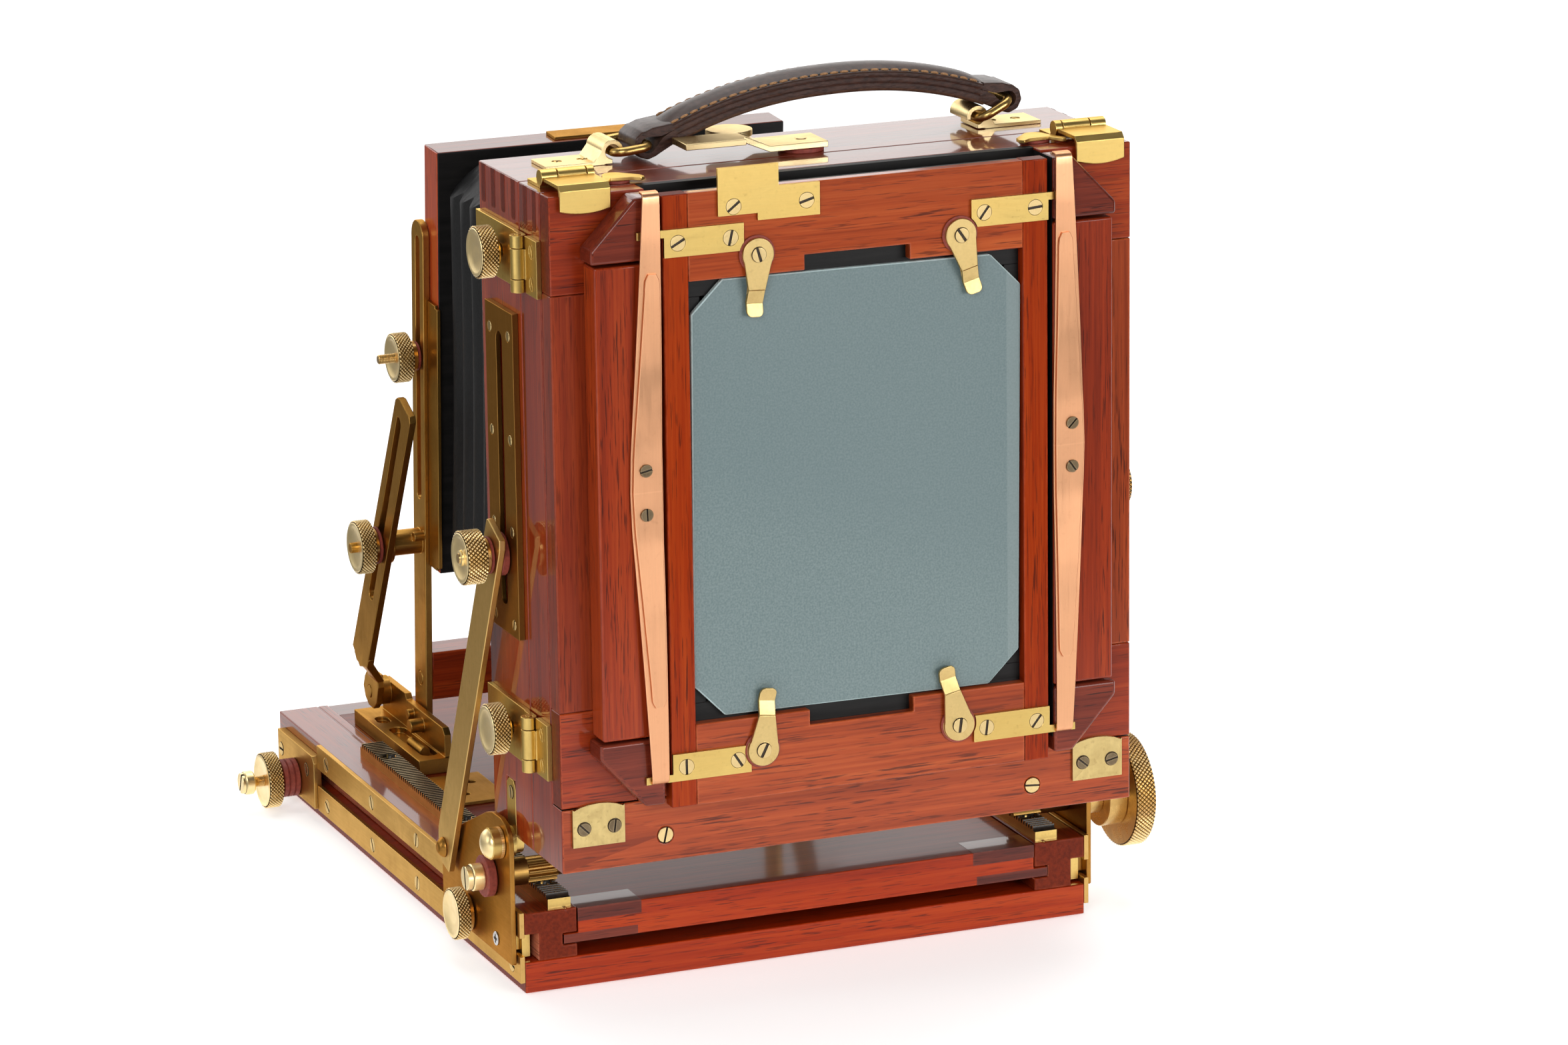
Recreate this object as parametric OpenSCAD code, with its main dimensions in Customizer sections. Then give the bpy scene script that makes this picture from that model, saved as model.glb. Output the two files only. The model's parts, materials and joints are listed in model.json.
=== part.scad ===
// Folding wooden field camera for 4 x 5 inch film: mahogany and brass, seen working from the back.
// x runs across the camera, y runs forward to the lens, z is up from the underside of the base.
// Lengths are written from the rear face of the reversible back (y = 0) and the whole
// model is then moved so that the origin is the tripod bush on the base's underside.

/* [Format] */
// Width of the ground glass
glass_w = 100.6; // [99:0.2:101]
// Height of the ground glass
glass_h = 126.6; // [125:0.2:127]
// Height of the glass centre above the base's underside
glass_z = 152.2; // [151:0.1:153]
// Free depth of the film holder slot in the back
slot_d = 4.5; // [4:0.1:4.8]

/* [Body] */
// Width of the rear body
body_w = 177.6; // [177:0.1:178]
// Underside of the rear body
body_z0 = 45.8; // [45:0.1:46.5]
// Top of the rear body
body_z1 = 242.1; // [241.5:0.1:242.5]
// Seam between the body box and the swinging back frame
seam_y = 24; // [23.5:0.1:24.5]
// Front edge of the body box
front_y = 56.7; // [55:0.1:58]

/* [Base] */
// Width of the base
base_w = 178.2; // [178:0.1:178.4]
// Length of the base
base_l = 227; // [224:1:230]
// Rear end of the base, forward of the back
base_y = 32.5; // [32:0.1:33]
// Thickness of the bottom board
plank_t = 9.4; // [8:0.1:9.6]
// Top of the side rails
rail_z = 24.3; // [24:0.1:24.6]
// Tooth pitch of the focusing racks
pitch = 1.75; // [1.7:0.01:1.8]
// Teeth on each focusing pinion
pinion_n = 13; // [13:1:13]
// Bore of the tripod bush (minor diameter of a 3/8 inch thread)
tripod_d = 8; // [7.9:0.1:8.2]

/* [Front standard] */
// Backward lean of the front standard in degrees
lean = 3.25; // [3:0.05:3.5]
// Width across the uprights
upright_w = 119; // [118.6:0.1:119.2]
// Bore of the lens flange
lens_d = 41.8; // [34:0.1:44]

/* [Bellows] */
// Number of folds drawn in the bellows
folds = 13; // [9:1:16]

/* [Hidden] */

$fn = 48;
e = 0.01;
bush_y = 146;
bw = body_w / 2;
hw = base_w / 2;
base_y1 = base_y + base_l;
pivot_y = 42;            // tilt axis of the rear body
pivot_z = 43.8;
std_y = 205.5;           // tilt axis of the front standard
std_z = 34.7;
up_y = 206.5;            // middle of the uprights before they lean
up_o = upright_w / 2;
pin_y = 50.6;            // focusing pinion
pin_r = pinion_n * pitch / (2 * PI);
rack_z = 28.3;
pin_z = rack_z - 0.55 + pin_r;
hinge_x = bw + 2.6;      // vertical swing hinges
hinge_y = 18.2;
stud_y = 38;             // rear strut clamp
stud_z = 131.3;
riv_y = 85;              // rear strut pivot
riv_z = 30.2;
tk_y = 203.5;            // tilt strut clamp
tk_z = 91.2;
foot_y = 230.1;          // tilt strut pivot
foot_z = 36.2;
mahogany = [0.50, 0.16, 0.08];
redwood = [0.58, 0.24, 0.11];
darkwood = [0.24, 0.07, 0.05];
brass = [0.78, 0.60, 0.28];
brass2 = [0.62, 0.47, 0.20];
fibre = [0.42, 0.13, 0.12];
copper = [0.82, 0.55, 0.40];
black = [0.05, 0.05, 0.06];
steel = [0.55, 0.55, 0.56];

// ---- drawing helpers ----
module place() translate([0, -bush_y, 0]) children();
module both() { children(); mirror([1, 0, 0]) children(); }
module bx(x0, x1, y0, y1, z0, z1) translate([x0, y0, z0]) cube([x1 - x0, y1 - y0, z1 - z0]);
module cx(r, x0, x1, y, z) translate([x0, y, z]) rotate([0, 90, 0]) cylinder(r = r, h = x1 - x0);
module cy(r, y0, y1, x, z) translate([x, y0, z]) rotate([-90, 0, 0]) cylinder(r = r, h = y1 - y0);
module cz(r, z0, z1, x, y) translate([x, y, z0]) cylinder(r = r, h = z1 - z0);
// outline in (y, z), extruded along x
module along_x(x0, x1) translate([x0, 0, 0]) rotate([90, 0, 90]) linear_extrude(x1 - x0) children();
// outline in (x, z), extruded along y
module along_y(y0, y1) translate([0, y1, 0]) rotate([90, 0, 0]) linear_extrude(y1 - y0) children();
module slot2d(w, a, b) {
  d = b - a; n = norm(d);
  translate(a) rotate(atan2(d[1], d[0])) union() { translate([0, -w / 2]) square([n, w]); circle(d = w); translate([n, 0]) circle(d = w); }
}
// slotted screw head, sunk flush, axis along -x from face x
module head_x(x, y, z, d = 4.4, a = 20) translate([x, y, z]) rotate([a, 0, 0]) difference() {
  rotate([0, -90, 0]) cylinder(d = d, h = 0.9);
  translate([-1, -d, -0.35]) cube([0.6, 2 * d, 0.7]);
}
module head_y(x, y, z, d = 4.6, a = 10) translate([x, y, z]) rotate([0, a, 0]) difference() {
  rotate([90, 0, 0]) cylinder(d = d, h = 0.6);
  translate([-d, -0.7, -0.35]) cube([2 * d, 0.4, 0.7]);
}
module head_z(x, y, z, d = 4.2, a = 30) translate([x, y, z]) rotate([0, 0, a]) difference() {
  cylinder(d = d, h = 0.5);
  translate([-d, -0.35, 0.2]) cube([2 * d, 0.7, 0.4]);
}
module standard_lean() translate([0, std_y, std_z]) rotate([lean, 0, 0]) translate([0, -std_y, -std_z]) children();

// ---- base ----
module base_plank() color(redwood) difference() {
  bx(-hw, hw, base_y, base_y1, 0, plank_t);
  translate([0, bush_y, -e]) cylinder(d = 34.1, h = 2.3);
  translate([0, bush_y, -e]) cylinder(d = 16, h = 20);
  mirror([1, 0, 0]) cx(2.6, 87.6, 100, lk_y, lk_z);
}
module tripod_bush() color(brass) translate([0, bush_y, 0]) difference() {
  union() { cylinder(d = 34, h = 2.2); cylinder(d = 16, h = plank_t - 0.2); }
  translate([0, 0, -1]) cylinder(d = tripod_d, h = 20);
  for (i = [0:2]) rotate(i * 120 + 30) translate([12, 0, -e]) cylinder(d = 4.6, h = 1);
}
rail_out = [[72.9, plank_t], [84.8, plank_t], [84.8, 17.8], [hw, 17.8], [hw, rail_z], [76.5, rail_z],
  [76.2, rail_z - 0.4], [75.9, rail_z], [72.9, rail_z], [72.9, 16.8], [77.3, 16.8], [77.3, 13.2], [72.9, 13.2]];
module rail() difference() {
  along_y(base_y, base_y1) polygon(rail_out);
  for (z = [20.6]) for (y = strip_ys) cx(1, 85, 91, y, z);
}
strip_ys = [40, 80, 123.3, 165, 208.6];
module side_rails() color(darkwood) both() rail();
rack_y0 = 34.5;
rack_n = 95;
module rack() difference() {
  along_x(74, 81) polygon(concat([[rack_y0, rail_z], [rack_y0, rack_z - 1.3]],
    [for (i = [0:rack_n - 1]) let (y = pin_y + (i - 8) * pitch) each [[y - 0.6, rack_z - 1.3], [y - 0.25, rack_z], [y + 0.25, rack_z], [y + 0.6, rack_z - 1.3]]],
    [[pin_y + (rack_n - 8) * pitch, rack_z - 1.3], [pin_y + (rack_n - 8) * pitch, rail_z]]));
  for (y = [46.9, 115.1, 185.1]) cz(2.1, 26.3, 40, 77.5, y);
}
module focus_racks() color(brass) both() rack();
module slide_strips() { side_strips(); front_lock_plate(); }
module side_strips() color(brass2) both() difference() {
  union() {
    bx(hw, hw + 1.5, base_y, 217.6, 16.9, rail_z + 0.3);
    bx(hw, hw + 1.5, base_y, 217.6, 3.2, 11.3);
  }
  for (z = [20.6, 7]) for (y = strip_ys) cx(2.25, hw + 0.5, hw + 2, y, z);
}
module base_screws() color(brass) {
  for (s = [0, 1]) mirror([s, 0, 0]) for (z = [20.6, 7]) for (i = [0:4])
    head_x(-hw - 0.6, strip_ys[i], z, 4.4, [15, 80, 100, 65, 35][i] + 40 * s);
  for (i = [0:1]) head_x(-hw - 1.75, [250.8, 225.7][i], 14.5, 4.2, 60 * i);
  for (i = [0:2]) translate([0, bush_y, 0]) rotate(i * 120 + 30) translate([12, 0, 0.1]) cylinder(d = 4.5, h = 0.85);
  for (s = [-1, 1]) for (y = [46.9, 115.1, 185.1]) cz(2, 26.3, 26.8, 77.5 * s, y);
}
module front_lock_plate() color(brass2) difference() {
  bx(-hw - 2.5, -hw, 218, 254, 3.5, 20.4);
  cx(2.25, -100, -80, lk_y, lk_z);
  for (i = [0:1]) cx(2.2, -hw - 2.6, -hw - 1.6, [250.8, 225.7][i], 14.5);
  along_x(-100, -80) polygon([[217, 17.4], [220.6, 21], [217, 21]]);
}
lk_y = 236.5;
lk_z = 9.2;
module bed_lock_knob() color(brass) translate([0, lk_y, lk_z]) rotate([0, -90, 0]) {
  translate([0, 0, hw - 1.2]) cylinder(d = 4.3, h = 20);
  translate([0, 0, hw + 2.6]) cylinder(d = 12.1, h = 2.4);
  translate([0, 0, hw + 5]) cylinder(d = 10.5, h = 4);
  translate([0, 0, hw + 9]) cylinder(d = 17.9, h = 4.8);
  translate([0, 0, hw + 13.8]) cylinder(d = 3.6, h = 4);
  translate([0, 0, hw + 17.6]) difference() { cylinder(d = 7.6, h = 3.3); translate([-5, -0.5, 2.4]) cube([10, 1, 2]); }
}

// ---- sliding bed ----
bed_z = 23.8;
module bed_panel() { bed_board(); bed_keys(); }
module bed_board() color(mahogany) difference() {
  along_y(base_y, base_y1) polygon([[-72.6, bed_z], [-72.6, 16.4], [-77, 16.4], [-77, 13.6], [77, 13.6], [77, 16.4], [72.6, 16.4], [72.6, bed_z]]);
  for (k = [base_y - 1, base_y1 - 11]) both() {
    bx(52.8, 80, k, k + 12, 19.8, 30);
    bx(54, 80, k, k + 12, 10, 16.4);
  }
}
module bed_keys() color(darkwood) for (k = [base_y, base_y1 - 11]) both() {
  bx(52.8, 72.6, k, k + 11, 19.8, bed_z);
  bx(54, 77, k, k + 11, 13.6, 16.4);
}
module bed_plates() color(brass2) both() difference() {
  bx(54, 70.5, 140, 169.3, bed_z, bed_z + 1);
  for (p = [[59.7, 160.2], [65.5, 148.9]]) cz(1.5, 20, 30, p[0], p[1]);
}
module bed_fittings() { bed_plates(); standard_brackets(); }
module standard_brackets() both() {
  color(darkwood) bx(55.5, 71.2, 175, 237.5, bed_z, 26);
  color(brass) difference() {
    union() {
      bx(55.5, 71.2, 175, 237.5, 26, 28.6);
      along_x(60.2, 62.4) polygon([[176, 28.6], [235.2, 28.6], [235.2, 38], [233.6, 39.4], [213, 39.4], [211.6, 37.6], [178, 37.6], [176, 35.6]]);
      cx(4.6, 62.4, 65.9, foot_y, foot_z);
      cx(2, 65.9, 68.5, foot_y, foot_z);
      cx(2.35, 62.4, 66.8, 196.8, 33.2);
      cx(1.6, 60.2, 64.4, std_y, std_z);
      cx(1.6, 57.1, 60.2, std_y, std_z);
    }
    translate([0, 0, 27.2]) linear_extrude(5) slot2d(4.2, [66.9, 221], [66.7, 224]);
    translate([0, 0, 26.6]) linear_extrude(5) slot2d(5.4, [65.9, 210.4], [65.6, 182.2]);
  }
  color(brass) cy(1.7, 184.5, 197, 66, 28.3);
}

// ---- front standard ----
module upright() standard_lean() difference() {
  along_x(up_o - 2.2, up_o) union() {
    translate([up_y, 36]) circle(d = 10.6);
    translate([up_y - 5.3, 36]) square([10.6, 153.2]);
    translate([up_y, 189.2]) circle(d = 10.6);
  }
  cx(1.66, 40, 80, std_y, std_z);
  along_x(40, 80) slot2d(4, [up_y, 107], [up_y, 187.6]);
  cx(2.3, up_o - 0.5, 80, up_y, 46);
}
module uprights() { color(brass2) both() upright(); tilt_spacers(); }
module cross_member() color(mahogany) standard_lean() bx(-57.3, 57.3, 201.6, 212.4, 39.8, 55.4);
module tilt_spacers() color(brass) both() {
  cx(4, up_o, 69.2, tk_y, tk_z);
  cx(1.6, 69.2, 82.2, tk_y, tk_z);
  cx(6, 69.2, 70.3, tk_y, tk_z);
  standard_lean() cx(2.2, up_o - 0.5, up_o + 0.1, up_y, 46);
  standard_lean() { cx(1.5, up_o, up_o + 3.4, up_y - 4, 94); cx(1.2, up_o - 1, up_o, up_y - 4, 94); }
}
module tilt_strut() {
  color(brass2) difference() {
    union() {
      along_x(70.6, 72.8) polygon([[232.3, 51.5], [183.6, 142.2], [181.6, 143.2], [179.4, 143.2], [171.2, 139.4], [170.6, 137.4], [218.6, 47.6], [226, 46]]);
      along_x(66.2, 68.3) polygon([[236.2, 36.8], [234.6, 40.4], [231.5, 43.4], [222.6, 43.4], [221.6, 39.4], [223.6, 33.8], [227, 31.2], [231.5, 31.4], [234.6, 33.4]]);
      // joggle between the two planes
      intersection() {
        rotate([90, 0, 0]) translate([0, 0, -260]) linear_extrude(100) polygon([[66.2, 41.6], [68.3, 41.2], [72.8, 47.4], [72.8, 50], [70.6, 50], [70.6, 48.4]]);
        along_x(60, 80) polygon([[232.3, 51.5], [226, 44], [232, 41], [236, 35], [221, 35], [221.6, 41], [218.6, 47.6], [216, 52]]);
      }
    }
    along_x(60, 80) slot2d(4.3, [tk_y + 0.452 * 20, tk_z - 0.892 * 20], [tk_y - 0.452 * 49, tk_z + 0.892 * 49]);
    cx(2.06, 60, 80, foot_y, foot_z);
  }
}
module left_tilt_strut() mirror([1, 0, 0]) tilt_strut();
module right_tilt_strut() tilt_strut();
module tilt_knob() translate([0, tk_y, tk_z]) rotate([0, 90, 0]) {
  color(fibre) difference() { translate([0, 0, 73.1]) cylinder(d = 11.6, h = 0.9); cylinder(d = 3.3, h = 100); }
  color(brass) difference() {
    union() { translate([0, 0, 74]) cylinder(d = 10.8, h = 1.8); translate([0, 0, 75.8]) cylinder(d = 17, h = 4.8); }
    cylinder(d = 3.3, h = 100);
  }
}
module left_tilt_knob() mirror([1, 0, 0]) tilt_knob();
module right_tilt_knob() tilt_knob();
lf_y0 = 194.4;
lf_y1 = 206.4;
module lens_frame() color(darkwood) standard_lean() difference() {
  union() {
    bx(-57, 57, lf_y0, lf_y1, 83.6, 218.4);
    both() bx(51, 57, lf_y1, up_y + 4, 143, 159.4);
  }
  bx(-47.5, 47.5, lf_y0 - 1, lf_y1 + 1, 98, 204);
  bx(-50.5, 50.5, 202.2, lf_y1 + 1, 95, 207);
  both() cx(1.56, 50.8, 70, up_y, 151.2);
}
module lens_board() color(mahogany) standard_lean() difference() {
  bx(-50.2, 50.2, 202.4, 206.6, 95.3, 206.7);
  cy(lens_d / 2 + 2.2, 190, 220, 0, 151);
}
module lens_flange() { flange_ring(); flange_screws(); }
module flange_ring() color(brass) standard_lean() difference() {
  union() { cy(31, 206.6, 208.8, 0, 151); cy(lens_d / 2 + 2.1, 202, 211.6, 0, 151); }
  cy(lens_d / 2, 190, 220, 0, 151);
  for (a = [45:90:315]) translate([26.5 * cos(a), 0, 151 + 26.5 * sin(a)]) { cy(2, 208.4, 220, 0, 0); }
}
module flange_screws() color(brass) standard_lean() for (a = [45:90:315])
  translate([26.5 * cos(a), 208.3, 151 + 26.5 * sin(a)]) rotate([0, a, 0]) difference() { rotate([-90, 0, 0]) cylinder(d = 3.9, h = 0.8); translate([-3, 0.4, -0.3]) cube([6, 1, 0.6]); }
module frame_guides() color(brass2) standard_lean() {
  both() {
    bx(57, 58.2, 194.6, 200.8, 84.8, 170.2);
    bx(57, 58.2, 192.2, 194.6, 86, 169.4);
  }
  bx(-18, 18, 196.4, 204.4, 218.4, 219.4);
}
module rise_knob() standard_lean() translate([0, up_y, 151.2]) rotate([0, 90, 0]) {
  color(brass2) translate([0, 0, 51.2]) cylinder(d = 3, h = 21.3);
  color(fibre) translate([0, 0, up_o + 0.3]) cylinder(d = 9, h = 0.9);
  color(brass) { translate([0, 0, up_o + 1.2]) cylinder(d = 9.6, h = 2.2); translate([0, 0, up_o + 3.4]) cylinder(d = 15.7, h = 5); }
}
module left_rise_knob() mirror([1, 0, 0]) rise_knob();
module right_rise_knob() rise_knob();

// ---- rear carriage ----
module side_plate() difference() {
  along_x(90.9, 92.4) polygon([[34.6, 8.7], [35, 8.3], [93.6, 8.3], [94, 8.7], [94, 33], [93, 34.4], [80, 37.8], [54, 49.6], [49, 51], [42, 51.2], [38, 50.2], [35.6, 48], [34.6, 45]]);
  cx(2.06, 80, 100, pivot_y, pivot_z);
  cx(2.56, 80, 100, pin_y, pin_z);
  cx(1.9, 80, 100, riv_y, riv_z);
  cx(2.1, 80, 100, lock_y, lock_z);
}
module side_fittings() {
  cx(1.86, 90.9, 95.1, riv_y, riv_z);            // rear strut pivot
  translate([95.1, riv_y, riv_z]) rotate([0, 90, 0]) intersection() { cylinder(d = 6.4, h = 1.9); translate([0, 0, -1.2]) sphere(r = 3.35, $fn = 48); }
}
module side_plates() color(brass) both() { side_plate(); side_fittings(); }
// nuts that run in the rail grooves, with a spacer through the slot between the strips
lock_y = 70.6;
lock_z = 14.1;
module slide_nuts() {
  color(brass) for (s = [0, 1]) mirror([s, 0, 0]) for (y = [36, 78]) {
    difference() {
      slide_nut(y > 40 ? 64 : y, y > 40 ? 24 : 20);
      if (y > 40 && s == 1) cx(2.06, 80, 100, lock_y, lock_z);
    }
  }
  color(steel) both() difference() {
    cx(2.1, 92.4, 92.8, 47.5, 12.9);
    bx(92.5, 93, 46.2, 48.8, 12.6, 13.2);
    bx(92.5, 93, 47.2, 47.8, 11.6, 14.2);
  }
  
}
module slide_nut(y, l) { bx(86.2, 88.8, y, y + l, 10, 17.2); bx(88.8, 90.9, y + 2, y + l - 2, 11.8, 16.4); }
module focus_pinion() color(brass) translate([0, pin_y, pin_z]) rotate([0, 90, 0]) {
  translate([0, 0, -98.4]) cylinder(d = 5, h = 196.4);
  for (s = [0, 1]) mirror([0, 0, s]) {
    translate([0, 0, 73]) linear_extrude(9) gear2d();
    translate([0, 0, 82.2]) cylinder(d = 8.2, h = 8.5);
  }
}
function gp(r, a) = [r * cos(a), r * sin(a)];
module gear2d() rotate(phase) polygon([for (i = [0:pinion_n - 1]) let (a = i * 360 / pinion_n)
  each [gp(pin_r - 0.68, a - 8.6), gp(pin_r, a - 5.4), gp(pin_r + 0.42, a - 2.4), gp(pin_r + 0.42, a + 2.4), gp(pin_r, a + 5.4), gp(pin_r - 0.68, a + 8.6)]]);
// a rack tooth stands under the pinion, so a gap between pinion teeth points down
phase = 180 / pinion_n;
module focus_knob() translate([0, pin_y, pin_z]) rotate([0, 90, 0]) {
  color(fibre) difference() { translate([0, 0, 92.6]) cylinder(d = 12.4, h = 3.3); cylinder(d = 5, h = 100); }
  color(brass) difference() {
    union() {
      translate([0, 0, 95.9]) cylinder(d = 12, h = 5.4);
      translate([0, 0, 101.3]) cylinder(d = 20.5, h = 6);
      translate([0, 0, 107.3]) cylinder(d = 34.4, h = 6.4);
    }
    translate([0, 0, 90]) cylinder(d = 5, h = 8);
  }
  // left end: washer and slotted nut
  mirror([0, 0, 1]) {
    color(fibre) difference() { translate([0, 0, 92.6]) cylinder(d = 12.4, h = 2.8); cylinder(d = 5, h = 100); }
    color(brass) difference() {
      translate([0, 0, 95.4]) cylinder(d = 8, h = 5.2);
      translate([0, 0, 95]) cylinder(d = 5, h = 3.4);
      translate([-5, -0.5, 100]) cube([10, 1, 1]);
    }
  }
}
module carriage_lock_knob() color(brass) translate([0, lock_y, lock_z]) rotate([0, -90, 0]) {
  translate([0, 0, 85.2]) cylinder(d = 4, h = 8);
  translate([0, 0, 92.7]) cylinder(d = 11.4, h = 1.7);
  translate([0, 0, 94.4]) cylinder(d = 15.7, h = 3.8);
}

// ---- rear body ----
module body_box() color(mahogany) difference() {
  bx(-bw, bw, seam_y, front_y, body_z0, body_z1);
  bx(-bw + 13, bw - 13, seam_y - 1, front_y + 1, body_z0 + 12, body_z1 - 11);
  both() {
    bx(bw - 2.5, bw + 1, 38.4, 45.6, body_z0 - 1, 62.6);                        // inlaid pivot straps
    bx(bw - 3.2, bw + 1, stud_y - 4.6, stud_y + 4.6, 111.6, 200.8);              // recess behind the slot plates
    for (z = [80, 220.2]) bx(bw - 3.4, bw + 1, 30.6, 54, z - 4.6, z + 4.6);        // recess behind the hinge leaves
  }
}
module slot_plates() both() {
  color(darkwood) slot_plate(bw, bw + 0.5, 0);
  color(brass2) slot_plate(bw + 0.5, bw + 1.9, 1);
}
module slot_plate(x0, x1, h) difference() {
  bx(x0, x1, 26.6, 49, 108.2, 203.6);
  along_x(80, 100) slot2d(h ? 5 : 9.2, [stud_y, h ? 118.7 : 116.2], [stud_y, h ? 194 : 196.2]);
  if (h) for (z = [111.8, 139.2, 166.2, 196.4]) for (y = [30.6, 45.6]) cx(1.6, bw + 1.2, 100, y, z);
}
module pivot_fittings() { pivot_straps(); dome_nuts(); }
module pivot_straps() color(brass) both() {
  difference() {
    along_x(bw - 2.5, bw) polygon(concat([[38.4, 60], [38.4, pivot_z]], [for (a = [180:15:360]) [pivot_y + 3.6 * cos(a), pivot_z + 3.6 * sin(a)]], [[45.6, 61], [43.6, 62.6], [40, 62.6]]));
    cx(2.05, bw - 0.7, bw + 1, pivot_y, 58.6);
  }
  translate([0, 0, 0]) cx(4.4, bw, bw + 2, pivot_y, pivot_z);
  cx(2, bw + 2, 93.2, pivot_y, pivot_z);
  mirror([1, 0, 0]) head_x(-bw + 0.65, pivot_y, 58.6, 4, 80);
}
module dome_nuts() color(brass) both() translate([92.5, pivot_y, pivot_z]) rotate([0, 90, 0]) difference() {
  union() {
    cylinder(d = 9.4, h = 3.6);
    translate([0, 0, 3.6]) intersection() { cylinder(d = 8.8, h = 2.4); translate([0, 0, -3.4]) sphere(r = 5.6, $fn = 64); }
  }
  translate([0, 0, -1]) cylinder(r = 2, h = 1.7);
}
st_a = atan2(riv_y - stud_y, stud_z - riv_z);
module rear_strut() {
  color(brass2) translate([93.1, riv_y, riv_z]) rotate([st_a, 0, 0]) difference() {
    along_x(0, 1.9) polygon([[-6.2, -4.6], [-6.2, 118], [-5.2, 120.6], [5.2, 120.6], [6.2, 119.6], [6.2, 3], [4, -2.6], [-0.6, -5.6]]);
    translate([-1, 0, 0]) rotate([0, 90, 0]) cylinder(r = 1.94, h = 5);
    translate([-1, 0, norm([riv_y - stud_y, stud_z - riv_z])]) rotate([0, 90, 0]) cylinder(r = 1.77, h = 5);
  }
  color(fibre) difference() { cx(6.3, bw + 2.15, 93.05, stud_y, stud_z); cx(1.9, 80, 100, stud_y, stud_z); }
}
module left_rear_strut() mirror([1, 0, 0]) rear_strut();
module right_rear_strut() rear_strut();
module strut_knob() translate([0, stud_y, stud_z]) rotate([0, 90, 0]) {
  color(brass2) { translate([0, 0, bw - 2.2]) cylinder(d = 7.4, h = 1.9); translate([0, 0, bw - 0.4]) cylinder(d = 3.4, h = 12); }
  color(fibre) translate([0, 0, 95.2]) cylinder(d = 10.8, h = 0.8);
  color(brass) { translate([0, 0, 96]) cylinder(d = 10.4, h = 1.8); translate([0, 0, 97.8]) cylinder(d = 16, h = 6.2); }
}
module left_strut_knob() mirror([1, 0, 0]) strut_knob();
module right_strut_knob() strut_knob();
kn_y = 36.4;
module hinge_knob(z) translate([0, kn_y, z]) rotate([0, 90, 0]) color(brass) {
  translate([0, 0, bw - 2.4]) cylinder(d = 7.4, h = 1.8);
  translate([0, 0, bw - 0.7]) cylinder(d = 3.4, h = 4);
  translate([0, 0, bw + 2.6]) cylinder(d = 9.6, h = 1.4);
  translate([0, 0, bw + 4]) cylinder(d = 15.2, h = 5);
}
hinge_zs = [80, 220.2];
module upper_left_hinge_knob() mirror([1, 0, 0]) hinge_knob(hinge_zs[1]);
module lower_left_hinge_knob() mirror([1, 0, 0]) hinge_knob(hinge_zs[0]);
module upper_right_hinge_knob() hinge_knob(hinge_zs[1]);
module lower_right_hinge_knob() hinge_knob(hinge_zs[0]);
// swing hinge: knuckles 1 and 3 on the body leaf, knuckle 2 on the frame leaf
// g lifts the whole leaf off the body, for the side that slides as the back swings
module front_leaf(z, g) difference() {
  union() {
    bx(bw + g, bw + g + 1.5, 24.2, 55.8, z - 8.2, z + 8.2);
    bx(bw + max(g, 0.3), bw + max(g, 0.3) + 1.5, 21.2, 24.4, z - 8.2, z + 8.2);
    for (k = [[-8.2, -4.4], [4.6, 8.2]]) {
      bx(bw + max(g, 0.3), bw + max(g, 0.3) + 1.5, hinge_y, 22, z + k[0], z + k[1]);
      cz(2.3, z + k[0], z + k[1], hinge_x, hinge_y);
    }
  }
  along_x(80, 100) slot2d(4.4, [kn_y - 0.4, z], [kn_y + 13.8, z]);
  cz(1.06, z - 20, z + 20, hinge_x, hinge_y);
}
module rear_leaf(z) {
  difference() {
    union() {
      bx(bw, bw + 1.5, 6.6, 15.6, z - 8.2, z + 8.2);
      bx(bw + 0.3, bw + 1.8, 15, hinge_y, z - 4.2, z + 4.4);
      cz(2.3, z - 4.2, z + 4.4, hinge_x, hinge_y);
    }
    cz(1, z - 20, z + 20, hinge_x, hinge_y);
    for (k = [-4.6, 4.6]) cx(2.05, bw + 0.9, bw + 2, 10.4, z + k);
  }
  cz(1, z - 8.4, z + 8.4, hinge_x, hinge_y);
  for (k = [-4.6, 4.6]) mirror([1, 0, 0]) head_x(-bw - 0.55, 10.4, z + k, 4, 70);
}
module left_hinge_leaves() color(brass) mirror([1, 0, 0]) for (z = hinge_zs) front_leaf(z, 0);
module right_hinge_leaves() color(brass) for (z = hinge_zs) front_leaf(z, 0.8);
module handle_fittings() color(brass) for (s = [0, 1]) mirror([s, 0, 0]) {
  difference() {
    union() {
      bx(58.6, 76.5, 34.6, 46.8, body_z1, body_z1 + 1.1);
      along_y(34.6, 46.8) difference() {
        union() { translate([56.4, body_z1 + 3.6]) circle(r = 3.4); polygon([[56.4, body_z1 + 0.2], [62, body_z1 + 0.2], [62, body_z1 + 1.1], [57.5, body_z1 + 7]]); }
        translate([56.4, body_z1 + 3.6]) circle(r = 2.1);
        translate([50, body_z1 - 2]) square([6.4, 5]);
      }
    }
    for (x = [63.4, 71]) cz(1.5, body_z1 - 1, body_z1 + 3, x, 40.7);
  }
}
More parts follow.
